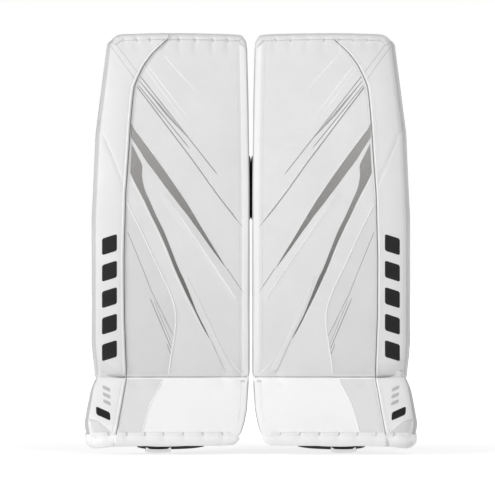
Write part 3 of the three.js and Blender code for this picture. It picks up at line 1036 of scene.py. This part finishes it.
def lip_widths(n, wide):
    """A binding's lip at each point of its path: wide, but narrower where the path turns sharply."""
    turning = np.linalg.norm(np.gradient(n, axis=0), axis=1) / 3.0
    room = 0.85 / np.maximum(turning, 1e-4)
    widths = np.clip(room, BINDING_ROUND + 0.5, wide)
    return np.convolve(np.pad(widths, 4, mode="edge"), np.ones(9) / 9, "valid")


def binding(path, front, lip, back_lip, laces):
    """A folded strip that binds an edge: a path (u, z) along the edge, with a lip on each side.

    The strip narrows at its ends and where the path turns sharply, and puckers at the laces.
    """
    radius = BINDING_ROUND
    path = spline(path, 3.0)
    n = across_of(path)
    outward = 1.0 if path[:, 1].mean() > KNEE_BREAK else -1.0
    n = n * np.sign(n[:, 1].mean() * outward)
    turn = np.linspace(0, math.pi / 2, 5)
    reach = np.arange(len(path)) * 3.0
    ends = np.clip(np.minimum(reach, reach[::-1]) / 12, 0, 1)
    ends = (0.15 + 0.85 * ends * ends * (3 - 2 * ends))[:, None]
    rise = BINDING + 0.4
    lips, back_lips = lip_widths(n, lip), lip_widths(n, back_lip)
    lips = radius + 0.5 + (lips - radius - 0.5) * ends[:, 0]
    share = np.linspace(1, 0, 4)[None, :]
    bent = -radius + (radius + rise * ends) * np.sin(turn[1:])[None, :]
    out = np.concatenate([-radius - (lips[:, None] - radius) * share, bent], axis=1)
    step = np.concatenate([np.zeros(4), (radius + rise) * (1 - np.cos(turn[1:]))])
    q = path[:, None] + n[:, None] * out[..., None]
    seat = path[:, None] + n[:, None] * np.minimum(out, -radius)[..., None]
    front_d = front(seat[..., 0], seat[..., 1]) - BINDING - 0.3 + step[None, :]
    wave = np.zeros(len(path))
    for lace_u, _ in laces:
        wave += np.exp(-(((path[:, 0] - lace_u) / 5.0) ** 2))
    near = np.exp(-(((out + lip) / (lip * 0.55)) ** 2))
    front_d = front_d + 1.1 * wave[:, None] * near
    top = np.linspace(0, 1, 8)[1:-1]
    top_q = path[:, None] + n[:, None] * ((rise + 0.5 * np.sin(math.pi * top))[None, :] * ends)[..., None]
    top_d = front_d[:, -1:] + (BINDING_BACK + BINDING - radius - rise - front_d[:, -1:]) * top[None, :]
    back_bent = -radius + (radius + rise * ends) * np.sin(turn[::-1][:-1])[None, :]
    back_out = np.concatenate([back_bent, -radius - (back_lips[:, None] - radius) * (1 - share)], axis=1)
    back_step = np.concatenate([(radius + rise) * (1 - np.cos(turn[::-1][:-1])), np.zeros(4)])
    back_q = path[:, None] + n[:, None] * back_out[..., None]
    back_d = BINDING_BACK + BINDING + 0.3 - back_step[None, :] + np.zeros((len(path), 1))
    q = np.concatenate([q, top_q, back_q], axis=1)
    d = np.concatenate([front_d, top_d, back_d], axis=1)
    grid = lean(q[..., 0], d, q[..., 1])
    n3 = normals(grid)
    if ((grid.mean(axis=1, keepdims=True) - grid) * n3).sum(axis=-1).mean() < 0:
        n3 = -n3
    return slab(grid, grid + n3 * (BINDING - 0.3))


TOP_PATH = [
    (-139.8, 703), (-138.0, 709), (-133.5, 715), (-124, 720.6), (-60, 722.6), (10, 722.8), (60, 721.6),
    (82, 720.6), (91, 716.5), (98, 708),
]
TOE_PATH = [
    (-117, 13), (-108, 6.5), (-97, 3.4), (-60, 3.2), (0, 3.0), (60, 2.8), (104, 1.6), (126, -0.6),
    (137, -1.2), (144.5, 2), (149.3, 8.5), (150.8, 17), (150.8, 21),
]
SHAPES["top_binding"] = binding(TOP_PATH, cover_front, 9.0, 12.0, TOP_LACES)
SHAPES["bottom_binding"] = binding(TOE_PATH, toe_front, 19.0, 14.0, TOE_LACES)


def lacing(marks, front, reach, tilt):
    """Short lacing stitches that hold a binding down."""
    loops = []
    for u, z in marks:
        t = np.linspace(-1, 1, 9)
        path_u = u + tilt * t + 1.6 * np.cos(t * math.pi / 2)
        path_z = z + reach * t
        lift = 2.6 * np.cos(t * math.pi / 2) - 0.4
        loops.append(tube(lean(path_u, front(path_u, path_z) - lift, path_z), 1.05, 7))
    return merged(*loops)


SHAPES["top_lacing"] = lacing([(u, 713.2) for u, _ in TOP_LACES], cover_front, 3.2, 0.8)
SHAPES["toe_lacing"] = lacing(TOE_LACES, toe_front, 3.6, 1.2)

# ---------------------------------------------------------------- trim sewn on the face, with lines of painted highlight and painted shade

CURVED_SEAM = spline([
    (76.2, 425.8), (55, 384), (28.3, 326.8), (5.5, 279.2), (-6, 248.7), (-9.8, 225.9), (-9, 205),
    (-6.8, 188.1), (-1, 152), (2.8, 124.6),
])
BOOT_CURVED_SEAM = spline([(13.5, 116), (17.9, 106.4), (37, 73.9), (46.5, 49.1), (54, 25)])
PANEL_GROOVE = spline([
    (56.5, 630.4), (-16.6, 531.9), (-43.5, 495.6), (-79.8, 444.5), (-110.7, 404.4), (-129.4, 381.5),
])
UPPER_BAND_TOP = spline([
    (67.6, 565), (63.6, 555.1), (50.3, 537), (13.2, 486.1), (-15.9, 443.9), (-30.5, 422), (-51.7, 387),
    (-66.8, 361.8), (-99.1, 310),
])
UPPER_BAND_FOOT = spline([
    (68.3, 540.5), (53.9, 518.1), (42.3, 499.2), (24.8, 475.9), (10.2, 455.5), (-4.3, 436.6),
    (-17.4, 419.1), (-30.5, 403.1), (-40.7, 388.6), (-51.7, 374), (-69.9, 348), (-85.6, 327),
    (-99.1, 310),
])
LOWER_BAND_OUTSIDE = spline([
    (67.2, 530), (57.5, 510), (49.3, 492), (50, 479), (49, 467), (45.2, 449.7), (36.4, 429.3),
    (23.3, 400.2), (11.7, 376.9), (0, 348), (-14.5, 311), (-24.5, 290), (-38.6, 254.9), (-48, 231.4),
    (-62.1, 203.2), (-70.4, 185),
])
LOWER_BAND_INSIDE = spline([
    (70.6, 478.8), (61.2, 458.4), (46.6, 430.8), (33.5, 403.1), (21.9, 379.8), (7.3, 347.5), (-7.2, 311),
    (-16.6, 290), (-29.2, 263), (-43.3, 235), (-58.2, 205), (-70.4, 185),
])


def edge_path(edge, low, high, offset):
    """A path (u, z) that keeps an offset from an edge."""
    z = np.arange(low, high + 0.1, 3.0)
    return np.stack([edge(z) + offset, z], axis=1)


def line(*points):
    """A straight or bent line through the points, in even steps."""
    return resample(points)


panel_edge = edge_path(SHIN_SEAM, 124.6, 425.8, -2.0)
SHAPES["outer_panel"] = patch(CURVED_SEAM[::-1], panel_edge, face_front, 0.35, 6)
boot_panel_edge = line(*[(float(BOOT_SEAM(z)) - 2, z) for z in (25, 116)])
SHAPES["boot_outer_panel"] = patch(BOOT_CURVED_SEAM[::-1], boot_panel_edge, boot_front, 0.35, 6)
SHAPES["upper_band"] = patch(UPPER_BAND_TOP, UPPER_BAND_FOOT, face_front, 0.5, 4)
SHAPES["lower_band"] = patch(LOWER_BAND_OUTSIDE, LOWER_BAND_INSIDE, face_front, 0.5, 4)
# a band on the face in the lighter, painted-light copy of the white leather
SHAPES["light_strip"] = patch(
    spline([(-29.8, 299), (-60.5, 236.1), (-85.6, 181.3), (-115.5, 127)]),
    spline([(-29.4, 297), (-42, 251.8), (-64, 203.2), (-72, 184.4), (-98, 127)]), face_front, 0.6, 4
)
wedge_top, wedge_foot = line((46, 633), (2, 579), (-30.7, 541)), line((44, 628.5), (6, 579), (-30.7, 541))
panel_fold = line((76.5, 378), (69.5, 361.5), (46, 303.5), (31.9, 267.5), (-7.3, 189.1))
# painted shade: a darker wedge between the lines, a dark line in the panel groove and one along the panel's
# fold
SHAPES["dark_wedge"] = merged(
    patch(wedge_top, wedge_foot, face_front, 0.3, 3),
    ribbon(PANEL_GROOVE, 2.5, 0.6, face_front, (2, 30)),
    ribbon(panel_fold, 1.8, 0.5, face_front, (6, 4)),
)
# the raised curved seam, in lighter leather: a painted highlight along its crest
SHAPES["pale_piping"] = ribbon(CURVED_SEAM, 2.6, 1.5, face_front, (1, 1))
SHAPES["boot_pale_piping"] = ribbon(BOOT_CURVED_SEAM, 2.4, 1.3, boot_front, (1, 1))
# pale raised lines beside grooves, bands and ridges: painted highlights on embossed edges
SHAPES["raised_lines"] = lines(
    face_front,
    (line((36, 668), (-32.6, 575.1)), 2.2, 0.7, (4, 40)),
    (line((41, 662), (-24, 572)), 1.6, 0.5, (4, 40)),
    (line((9.1, 688), (-51.8, 617.1)), 2.2, 0.7, (10, 40)),
    (PANEL_GROOVE + np.array([-1.7, 1.2]), 1.8, 0.7, (4, 60)),
    (LOWER_BAND_INSIDE[2:-4] + np.array([2.4, 0.0]), 1.6, 0.6, (10, 30)),
    (UPPER_BAND_TOP[4:-6] + np.array([-1.5, 0.9]), 1.4, 0.6, (10, 30)),
    (line((-56, 238), (-86, 172), (-109, 127.5)), 1.8, 0.6, (20, 2)),
    (line((-102, 152), (-126.7, 124.5)), 1.8, 0.7, (20, 8)),
    (line((7.3, 436), (-51.7, 353), (-121, 249.5)), 2.2, 0.8, (60, 12)),
)
SHAPES["dark_lines"] = lines(
    face_front,
    (line((50.5, 648.5), (-36.5, 535.3), (-84, 474.2)), 1.5, 0.45, (2, 8)),
    (line((52.5, 640.5), (-30.7, 541)), 1.2, 0.4, (2, 20)),
    (line((54.4, 633), (-35.4, 520)), 1.4, 0.45, (2, 10)),
    (UPPER_BAND_TOP, 1.4, 0.75, (2, 30)),
    (line((-99.1, 311.5), (-131, 264.5)), 1.2, 0.3, (2, 20)),
    (line((39, 266.2), (-3, 167.2)), 2.0, 0.5, (14, 4)),
    (line((32.0, 262.0), (-4.2, 175)), 1.1, 0.5, (14, 4)),
    (line((7.6, 182.5), (-1.6, 158)), 1.8, 0.5, (8, 3)),
)
# grey lines: the one in the knee crease is painted shade in the crease; the other two are thin grey lines on
# the face
SHAPES["fine_lines"] = merged(
    ribbon(KNEE_CREASE[:-1], 1.1, 0.2, roll_front, (4, 20)),
    ribbon(line((26.5, 262), (-6.4, 181)), 1.0, 0.5, face_front, (14, 4)),
    ribbon(line((-71.4, 184.3), (-99, 125)), 1.2, 0.75, face_front, (2, 12)),
)
# two grey lines on the roll: painted shade in its two shallow grooves
SHAPES["roll_lines"] = lines(
    roll_front,
    (line((103.0, 705.5), (59.4, 641)), 1.3, 0.35, (4, 1)),
    (line((94.5, 709.0), (52.5, 650.6)), 1.3, 0.35, (4, 1)),
)
# darker patches on the cut feet of the rolls: painted shade on facets that face down and out
FOOT_SHADE = line((84.5, 123.2), (118.8, 149), (134, 152)), line((86, 121.8), (110, 121.8), (129, 121.8))
BOOT_FOOT_SHADE = line((107, 24.5), (130.3, 45), (148, 50)), line((108, 23.5), (130, 23.5), (148, 23.5))
SHAPES["roll_foot_panel"] = patch(*FOOT_SHADE, roll_front, 0.12, 4)
SHAPES["boot_foot_panel"] = patch(*BOOT_FOOT_SHADE, boot_roll_front, 0.12, 4)
# raised rims along the roll seams, in lighter leather: painted highlights on their crests
SHAPES["seam_piping"] = ribbon(edge_path(SHIN_SEAM, 123, 713, 3.8), 3.0, 0.8, roll_front, (2, 2))
SHAPES["boot_seam_piping"] = ribbon(edge_path(BOOT_SEAM, 24, 118, 3.8), 2.8, 0.7, boot_roll_front, (2, 2))
# a band along the landing edge in lighter leather: a painted highlight where the edge catches light
landing_sides = [edge_path(INNER_EDGE, 122, 706, offset) for offset in (2.6, 14.5)]
SHAPES["landing_edge"] = patch(*landing_sides, face_front, 0.12, 2)
# grey lines along the landing edges: painted shade where the edge turns into the gap between the pads
SHAPES["landing_piping"] = ribbon(edge_path(INNER_EDGE, 123, 704, 1.4), 2.2, 0.25, face_front, (3, 6))
boot_landing_line = ribbon(edge_path(INNER_EDGE, 18, 116, 1.3), 2.0, 0.25, boot_front, (20, 3))
SHAPES["boot_landing_piping"] = notched(boot_landing_line)
SHAPES["face_stitching"] = merged(
    stitches(edge_path(INNER_EDGE, 126, 704, 18.6), face_front),
    stitches(CURVED_SEAM + np.array([4.2, 0]), face_front),
    stitches(edge_path(SHIN_SEAM, 126, 708, -5.2), face_front),
)
SHAPES["roll_stitching"] = stitches(edge_path(SHIN_SEAM, 126, 708, 8.6), roll_front)
SHAPES["boot_stitching"] = merged(
    stitches(edge_path(BOOT_SEAM, 27, 116, -5.0), boot_front),
    stitches(edge_path(INNER_EDGE, 44, 114, 13.0), boot_front),
    stitches(line((-100, 24.2), (98, 24.2)), boot_front, 3.6),
    stitches(edge_path(BOOT_SEAM, 27, 116, 8.2), boot_roll_front),
)


def bar(centre, size, slant, front):
    """A printed bar with slanted ends, between two edges across the roll."""
    (u, z), (wide, tall) = centre, size
    t = np.linspace(-1, 1, 15)
    trim = 2.4 * np.clip((np.abs(t) - 0.82) / 0.18, 0, 1) ** 2
    edge_u = u + t * wide / 2
    rise = slant * t * wide / 2
    upper = np.stack([edge_u, z + rise + tall / 2 - trim], axis=1)
    lower = np.stack([edge_u, z + rise - tall / 2 + trim], axis=1)
    return patch(upper, lower, front, 0.5, 4, 2.0)


SHAPES["roll_bars"] = merged(*[bar((107.0, 166 + 46.5 * k), (26, 30), -0.32, roll_front) for k in range(5)])
SHAPES["boot_bars"] = bar((121, 57), (24, 15), 0.45, boot_roll_front)
small_bars = [bar((113.5, 76 + 12 * k), (13, 7), 0.45, boot_roll_front) for k in range(3)]
SHAPES["boot_small_bars"] = merged(*small_bars)

# ---------------------------------------------------------------- liner, foam and the break


def liner(rows):
    """The black backing of a section, quilted in diamonds."""
    z = rows[:, None]
    i, o = INNER_EDGE(z) + 2.2, OUTER_EDGE(z) - 2.2
    s = np.linspace(0, 1, 76)[None, :]
    u = i + (o - i) * s
    edge = np.minimum(np.minimum(u - i, o - u), np.minimum(z - rows[0], rows[-1] - z))
    swell = np.clip(edge / 10, 0, 1) ** 0.5
    rising, falling = (math.pi * (u * 0.62 + way * z * 0.78) / QUILT for way in (1, -1))
    diamonds = np.abs(np.sin(rising)) * np.abs(np.sin(falling))
    back = LINER - 2.4 + 2.2 * swell * (0.35 + 0.65 * diamonds**0.35)
    return slab(lean(u, LINER - 3.8 + 0 * u, z), lean(u, back, z))


SHAPES["back_liner"] = liner(span(123.5, 716, 3.4))
SHAPES["boot_liner"] = notched(liner(span(7, 118.5, 3.2)))


def core(rows, seam, front):
    """The foam inside a section, with a step for the roll, kept under the covers."""
    loops = []
    for z in rows:
        i, o, s = float(INNER_EDGE(z)) + 2.6, float(OUTER_EDGE(z)) - 2.8, float(seam(z))
        loop = [(i, 12), (i + 3, 7), (i + 8, 5.5), (s - 6, 5.0), (s + 2, 4.5), (s + 7, -0.5), (s + 20, 0.5),
                (o - 18, 5.0), (o - 7, 9.0), (o - 1, 18), (o - 1, 45.5), (i, 45.5)]
        loop = resample([*loop, loop[0]], count=61)[:-1]
        under = front(loop[:, 0], z + 0 * loop[:, 0]) + 3.4
        depth = np.where(loop[:, 1] < 30, np.maximum(loop[:, 1], np.minimum(under, 30)), loop[:, 1])
        loops.append(lean(loop[:, 0], depth, z))
    return rings(np.array(loops))


SHAPES["foam_core"] = core(span(131, 708, 9.0), SHIN_SEAM, cover_front)
SHAPES["boot_foam_core"] = notched(core(span(14, 111, 7.0), BOOT_SEAM, toe_front))


def back_piping(low, high):
    """Piping down both back corners of a section."""
    z = np.arange(low, high, 4.0)
    sides = ((INNER_EDGE, 0.9), (OUTER_EDGE, -0.9))
    return merged(*[tube(lean(edge(z) + inset, COVER_BACK + 0.6, z), 1.6) for edge, inset in sides])


SHAPES["back_piping"] = back_piping(125, 705)
SHAPES["boot_back_piping"] = notched(back_piping(14, 117))


def flex_strip():
    """The gusset behind the break: across the front and back along both sides, joining boot and shin."""
    level = np.linspace(0, 1, 13)[:, None]
    side_d = np.linspace(44, 7, 10)[None, :]
    top = 130.0

    def heights(d):
        low = 111 - BREAK_NOTCH * np.clip(d, 0, None)
        return low + (top - low) * level

    inner_z, outer_z = heights(side_d), heights(side_d[:, ::-1])
    middle_u = np.linspace(-131, 121, 60)[None, :]
    middle_z = heights(2 + 0 * middle_u)
    tuck = 1.5 + 0.5 * np.cos((middle_z - 121) / 10 * math.pi)
    u = np.concatenate([INNER_EDGE(inner_z) + 3.0, middle_u + 0 * level, OUTER_EDGE(outer_z) - 3.2], axis=1)
    d = np.concatenate([side_d + 0 * level, tuck, side_d[:, ::-1] + 0 * level], axis=1)
    return thick(lean(u, d, np.concatenate([inner_z, middle_z, outer_z], axis=1)), 1.6)


SHAPES["boot_flex_strip"] = flex_strip()

# ---------------------------------------------------------------- the back of the pad


def dish(u, z, low, high, left, right, deep, rim, hollow):
    """Height of a cushion behind the liner: high along its sides, hollowed for the leg."""
    s = np.clip((u - left) / (right - left), 0, 1) * 2 - 1
    t = np.clip((z - low) / (high - low), 0, 1) * 2 - 1
    body = hollow + (rim - hollow) * np.abs(s) ** 2.2
    edge = ((1 - np.abs(s) ** 14) * (1 - np.abs(t) ** 18)) ** 0.5
    return deep + 1.5 + (body - 1.5) * edge


def cushion(low, high, left, right, rim, hollow, channels):
    """A cushion sewn in channels down its length."""
    z = np.linspace(low, high, int((high - low) / 4))[:, None]
    u = np.linspace(left, right, int((right - left) / 4))[None, :]
    deep = LINER + 0.8
    back = dish(u, z, low, high, left, right, deep, rim, hollow)
    points, faces = puffed(slab(lean(u, deep, z), lean(u, back, z)), 4.5, 4.0)
    y = points[:, 1] - face_depth(points[:, 2]) - deep
    high_side = np.clip(y / 5, 0, 1)
    for channel in channels:
        points[:, 1] -= 2.6 * np.exp(-(((points[:, 0] - channel) / 3.4) ** 2)) * high_side
    return points, faces


SHAPES["shin_cushion"] = cushion(139, 385, -77, 67, 17.5, 7.0, (-52, -29, -5, 19, 42))
SHAPES["knee_cradle"] = cushion(397, 535, -73, 65, 14.5, 6.5, (-48, -4, 40))


def seat_piping(low, high, left, right):
    """Piping round the foot of a cushion."""
    r = 7
    corners = [(left + r, low), (right - r, low), (right, low + r), (right, high - r), (right - r, high),
               (left + r, high), (left, high - r), (left, low + r), (left + r, low)]
    path = resample(corners, 4.0)
    path = (path + np.roll(path[:-1], 1, axis=0)[np.r_[0 : len(path) - 1, 0]]) / 2
    return tube(lean(path[:, 0], LINER + 2.4, path[:, 1]), 1.8)


SHAPES["shin_cushion_piping"] = seat_piping(137.5, 386.5, -79, 69)
SHAPES["knee_cradle_piping"] = seat_piping(396.5, 536, -75, 67)


def knee_layer(front, back, inner, outer):
    """One of the two foam layers under the knee."""
    return puffed(block((inner, outer), (front, back), (394, 511), 7.0, 10), 4.5, 2.4)


SHAPES["knee_block"] = knee_layer(LINER + 1.2, LINER + 43.6, -146.2, -81)
SHAPES["knee_riser"] = knee_layer(LINER + 45.6, 120.2, -139, -87)
layer_loop = resample([
    (-146.3, 399), (-146.3, 506), (-140, 512), (-94, 512), (-83.5, 503), (-81.5, 490), (-81.5, 415),
    (-83.5, 402), (-94, 393), (-140, 393), (-146.3, 399),
], 4.0)
layer_u, layer_z = layer_loop.T
SHAPES["knee_seam_piping"] = merged(*[tube(lean(layer_u, LINER + deep, layer_z), 1.7) for deep in (7.5, 38)])
SHAPES["knee_binding_tape"] = tube(lean(layer_u * 0.96 - 1.5, LINER + 44.6, layer_z), 2.4, 8, 0.5)

inner_wall = spline([
    (-131, LINER + 2), (-131, 90), (-131, 124), (-128.5, 139), (-120, 150), (-108, 157), (-99, 160),
], 4)
outer_wall = spline([
    (116, LINER + 10), (119.5, 86), (121, 112), (120.5, 128), (116, 142), (107, 153), (97, 159),
    (89, 161),
], 4)
wing_wall = spline([
    (108, LINER + 21), (110.8, 84), (112, 98), (110, 110), (103, 121), (93, 127.5), (83, 129),
], 4)

SHAPES["inner_calf_wrap"] = puffed(pillow(inner_wall, 144, 382, 10.0, (190, 236, 286, 334)), 3.6, 3.2)
SHAPES["outer_calf_wrap"] = puffed(pillow(outer_wall, 148, 374, 8.2, (192, 236, 286, 330)), 3.6, 2.6)
SHAPES["knee_wing"] = puffed(pillow(wing_wall, 404, 528, 7.4, (444, 494)), 3.6, 2.4)


def wall_piping(path, low, high):
    """Piping round the edge of a wrap."""
    path = resample(path, 4.0)
    up = np.arange(low, high, 4.0)[1:]
    points = [(*point, low) for point in path]
    points += [(*path[-1], z) for z in up]
    points += [(*point, high) for point in path[::-1]]
    points += [(*path[0], z) for z in up[::-1]]
    loop = np.array(points, float)
    for _ in range(2):
        loop = (np.roll(loop, 1, axis=0) + loop * 2 + np.roll(loop, -1, axis=0)) / 4
    return tube(np.vstack([loop, loop[:1]]), 2.9)


SHAPES["inner_wrap_piping"] = wall_piping(inner_wall, 142.8, 383.4)
SHAPES["outer_wrap_piping"] = wall_piping(outer_wall, 147, 375.2)
SHAPES["knee_wing_piping"] = wall_piping(wing_wall, 403, 529.2)

tape = spline([(121.5, LINER - 5), (119, LINER + 1.5), (117.2, LINER + 6), (117.6, LINER + 14)], 2.0)
SHAPES["calf_hinge_tape"] = strip(tape + np.array([4.9, 0]), 152, 370, 1.4, upright, 2.0, 30)
wing_tape = spline([(113, LINER + 7), (110.6, LINER + 14), (109.6, LINER + 18), (109.8, LINER + 26)], 2.0)
SHAPES["knee_hinge_tape"] = strip(wing_tape + np.array([4.6, 0]), 408, 524, 1.4, upright, 2.0, 18)

CALF_STRAP = [(92, 168.6), (60, 169.4), (0, 169.8), (-60, 169.2), (-122, 168.6)]
KNEE_STRAP = [(88, 135.4), (50, 136.2), (0, 136.6), (-60, 136.2), (-124, 135.6)]
SHAPES["calf_strap"] = strip(CALF_STRAP, 237, 285, 2.0)
SHAPES["calf_strap_tab"] = strip([(-68, 171.4), (-96, 171.6), (-125, 171.2)], 240.5, 281.5, 1.8)
SHAPES["knee_strap"] = strip(KNEE_STRAP, 445, 493, 2.0)
SHAPES["knee_strap_tab"] = strip([(-76, 138.4), (-100, 138.6), (-129, 138.2)], 448.5, 489.5, 1.8)


def back_stitches(depth, *ends):
    """Straight rows of stitches on the back of a strap, each between two points."""
    rows = [line(*pair) for pair in ends]
    return merged(*[stitches(row, lambda u, z: depth + 0 * u, 3.6, 2.5, 0.8, -0.55, upright) for row in rows])


def sewn_box(left, right, low, high, depth):
    """The box-and-cross stitching that fixes a strap's end."""
    a, b, c, d = (left, low), (right, low), (right, high), (left, high)
    return back_stitches(depth, (a, b), (b, c), (c, d), (d, a), (a, c), (d, b))


def tab_seam(left, right, low, high, depth):
    """The seam round a tab."""
    a, b, c, d = (left, low), (right, low), (right, high), (left, high)
    return back_stitches(depth, (b, a), (c, d), (b, c), (a, d))


SHAPES["calf_strap_stitching"] = sewn_box(64, 88, 241, 281, 170.6)
SHAPES["calf_tab_stitching"] = tab_seam(-122, -71, 243.5, 278.5, 172.5)
SHAPES["knee_strap_stitching"] = sewn_box(62, 84, 449, 489, 137.2)
SHAPES["knee_tab_stitching"] = tab_seam(-126, -79, 451.5, 486.5, 139.5)

# ---------------------------------------------------------------- ankle and toe

ankle = [(116, LINER + 2), (115, 62), (113.4, 76), (111.4, 88), (110, 97)]
for name, way in (("outer_ankle_wing", 1), ("inner_ankle_wing", -1)):
    SHAPES[name] = pillow(spline([(way * u, d) for u, d in ankle]), 41, 111, 6.8, (76,), 3.1, 1.1, lean)
BOOT_STRAP = [(111, 102.4), (60, 103.4), (0, 103.8), (-60, 103.4), (-111, 102.4)]
SHAPES["boot_strap"] = strip(BOOT_STRAP, 63, 97, 2.0, lean)


def toe_strap(path, width, thickness, across_u, columns=7):
    """Webbing at the toe: a path of (y, z) that is wide across the pad, or one of (u, z) wide along y."""
    path = spline(path, 2.0)
    n = across_of(path)
    t = np.linspace(-1, 1, columns)[:, None]
    half = thickness / 2 * np.where(np.abs(t) > 0.99, 0.5, 1.0)
    wide = t * width / 2

    def side(sign):
        along = path[None, :, 0] + sign * n[None, :, 0] * half
        high = path[None, :, 1] + sign * n[None, :, 1] * half
        return upright(wide, along, high) if across_u else upright(along, wide, high)

    return slab(side(1), side(-1))


TOE_Y = float(face_depth(BOOT_FOOT)) + 20


def toe_bridge():
    """The webbing under the boot that the toe loop hangs from."""
    path = [(-54, 1.8), (-44, -0.2), (-30, -1.7), (-4, -2.9), (22, -3.2), (40, -2.7), (54, -1.2), (62, 1.0)]
    points, faces = toe_strap(path, 8, 5.0, False)
    return points + (0, TOE_Y, 0), faces


def toe_loop():
    """The loop of webbing round the bridge, sagging in the middle, its bottom corners turned up."""
    angle = np.linspace(2.06 * math.pi, 0.94 * math.pi, 26)
    turns = [(7 * math.cos(a), -5.0 + 4.6 * math.sin(a)) for a in angle]
    points, faces = toe_strap(turns, 44, 1.8, True, 21)
    u, y, z = points.T
    z -= 1.2 * (1 - (u / 22) ** 2)
    corner = np.clip((np.abs(u) - 15.5) / 4.5, 0, 1)
    z += 2.3 * corner**2 * (3 - 2 * corner) * np.clip((z + 9.5) / 4, 0, 1)
    return np.stack([u + 25.5, y + TOE_Y, z], axis=1), faces


SHAPES["toe_bridge"] = toe_bridge()
SHAPES["toe_loop"] = toe_loop()

# ---------------------------------------------------------------- the pair

PIECES = [
    # name, body, look, the CAD nodes it stands for, how it bends, how much of it is padding
    ("face_cover", "shin", "white_cover", "shin_face thigh_face", KNEE_BEND),
    ("roll_cover", "shin", "white_bright", "shin_roll thigh_roll", KNEE_BEND),
    ("boot_face", "boot", "white_boot", "boot_face"),
    ("boot_roll", "boot", "white_roll", "boot_roll"),
    ("side_gusset", "shin", "grey_gusset", "", KNEE_BEND),
    ("boot_side_gusset", "boot", "grey_gusset"),
    ("foam_core", "shin", "foam", "shin_core thigh_core", KNEE_BEND, 1.0),
    ("boot_foam_core", "boot", "foam", "boot_core", None, 1.0),
    ("back_liner", "shin", "black_liner", "shin_liner thigh_liner", KNEE_BEND),
    ("boot_liner", "boot", "black_liner", "boot_liner"),
    ("top_binding", "thigh", "white_bright", "top_binding"),
    ("bottom_binding", "boot", "toe_white", "bottom_binding"),
    ("top_lacing", "thigh", "thread"),
    ("toe_lacing", "boot", "thread"),
    ("outer_panel", "shin", "grey_panel"),
    ("boot_outer_panel", "boot", "pale_panel"),
    ("upper_band", "shin", "trim_grey", "", KNEE_BEND),
    ("lower_band", "shin", "trim_grey", "", KNEE_BEND),
    ("light_strip", "shin", "white_bright"),
    ("dark_wedge", "shin", "wedge_grey", "", KNEE_BEND),
    ("pale_piping", "shin", "pale_line"),
    ("boot_pale_piping", "boot", "white_boot"),
    ("raised_lines", "shin", "pale_line", "", KNEE_BEND),
    ("dark_lines", "shin", "dark_line", "", KNEE_BEND),
    ("fine_lines", "shin", "soft_line", "", KNEE_BEND),
    ("roll_lines", "thigh", "soft_line"),
    ("roll_foot_panel", "shin", "white_cover"),
    ("boot_foot_panel", "boot", "white_bright"),
    ("seam_piping", "shin", "white_edge", "", KNEE_BEND),
    ("boot_seam_piping", "boot", "white_boot"),
    ("landing_edge", "shin", "white_edge", "", KNEE_BEND),
    ("landing_piping", "shin", "soft_line", "", KNEE_BEND),
    ("boot_landing_piping", "boot", "soft_line"),
    ("face_stitching", "shin", "thread", "", KNEE_BEND),
    ("roll_stitching", "shin", "thread", "", KNEE_BEND),
    ("boot_stitching", "boot", "thread"),
    ("roll_bars", "shin", "black_trim"),
    ("boot_bars", "boot", "black_trim"),
    ("boot_small_bars", "boot", "soft_line"),
    ("back_piping", "shin", "black_cover", "", KNEE_BEND),
    ("boot_back_piping", "boot", "black_cover"),
    ("boot_flex_strip", "shin", "seam_strip", "", BOOT_BEND),
    ("shin_cushion", "shin", "grey_cushion", "shin_cushion", None, 0.7),
    ("shin_cushion_piping", "shin", "black_cover"),
    ("knee_cradle", "shin", "grey_cushion", "knee_cradle", None, 0.7),
    ("knee_cradle_piping", "shin", "black_cover"),
    ("knee_block", "shin", "knee_fabric", "knee_block", None, 1.0),
    ("knee_riser", "shin", "knee_fabric", "knee_riser", None, 1.0),
    ("knee_seam_piping", "shin", "black_cover"),
    ("knee_binding_tape", "shin", "black_webbing"),
    ("inner_calf_wrap", "shin", "white_cover", "inner_calf_wrap", None, 0.8),
    ("inner_wrap_piping", "shin", "black_cover"),
    ("outer_calf_wrap", "calf_wrap", "white_cover", "outer_calf_wrap", None, 0.8),
    ("outer_wrap_piping", "calf_wrap", "black_cover"),
    ("knee_wing", "knee_wing", "white_cover", "knee_wing", None, 0.8),
    ("knee_wing_piping", "knee_wing", "black_cover"),
    ("calf_hinge_tape", "shin", "black_webbing", "", CALF_BEND),
    ("knee_hinge_tape", "shin", "black_webbing", "", WING_BEND),
    ("calf_strap", "calf_strap", "black_webbing", "calf_strap"),
    ("calf_strap_tab", "calf_strap", "hook_tab", "calf_strap_tab"),
    ("calf_strap_stitching", "calf_strap", "grey_thread"),
    ("calf_tab_stitching", "calf_strap", "grey_thread"),
    ("knee_strap", "knee_strap", "black_webbing", "knee_strap"),
    ("knee_strap_tab", "knee_strap", "hook_tab", "knee_strap_tab"),
    ("knee_strap_stitching", "knee_strap", "grey_thread"),
    ("knee_tab_stitching", "knee_strap", "grey_thread"),
    ("outer_ankle_wing", "boot", "white_cover", "outer_ankle_wing", None, 0.8),
    ("inner_ankle_wing", "boot", "white_cover", "inner_ankle_wing", None, 0.8),
    ("boot_strap", "boot_strap", "black_webbing", "boot_strap"),
    ("toe_bridge", "boot", "black_webbing", "toe_bridge"),
    ("toe_loop", "toe_loop", "white_webbing", "toe_loop"),
]

for side in SIDES:
    for name, body, look, *settings in PIECES:
        place(name, side, body, look, *settings)
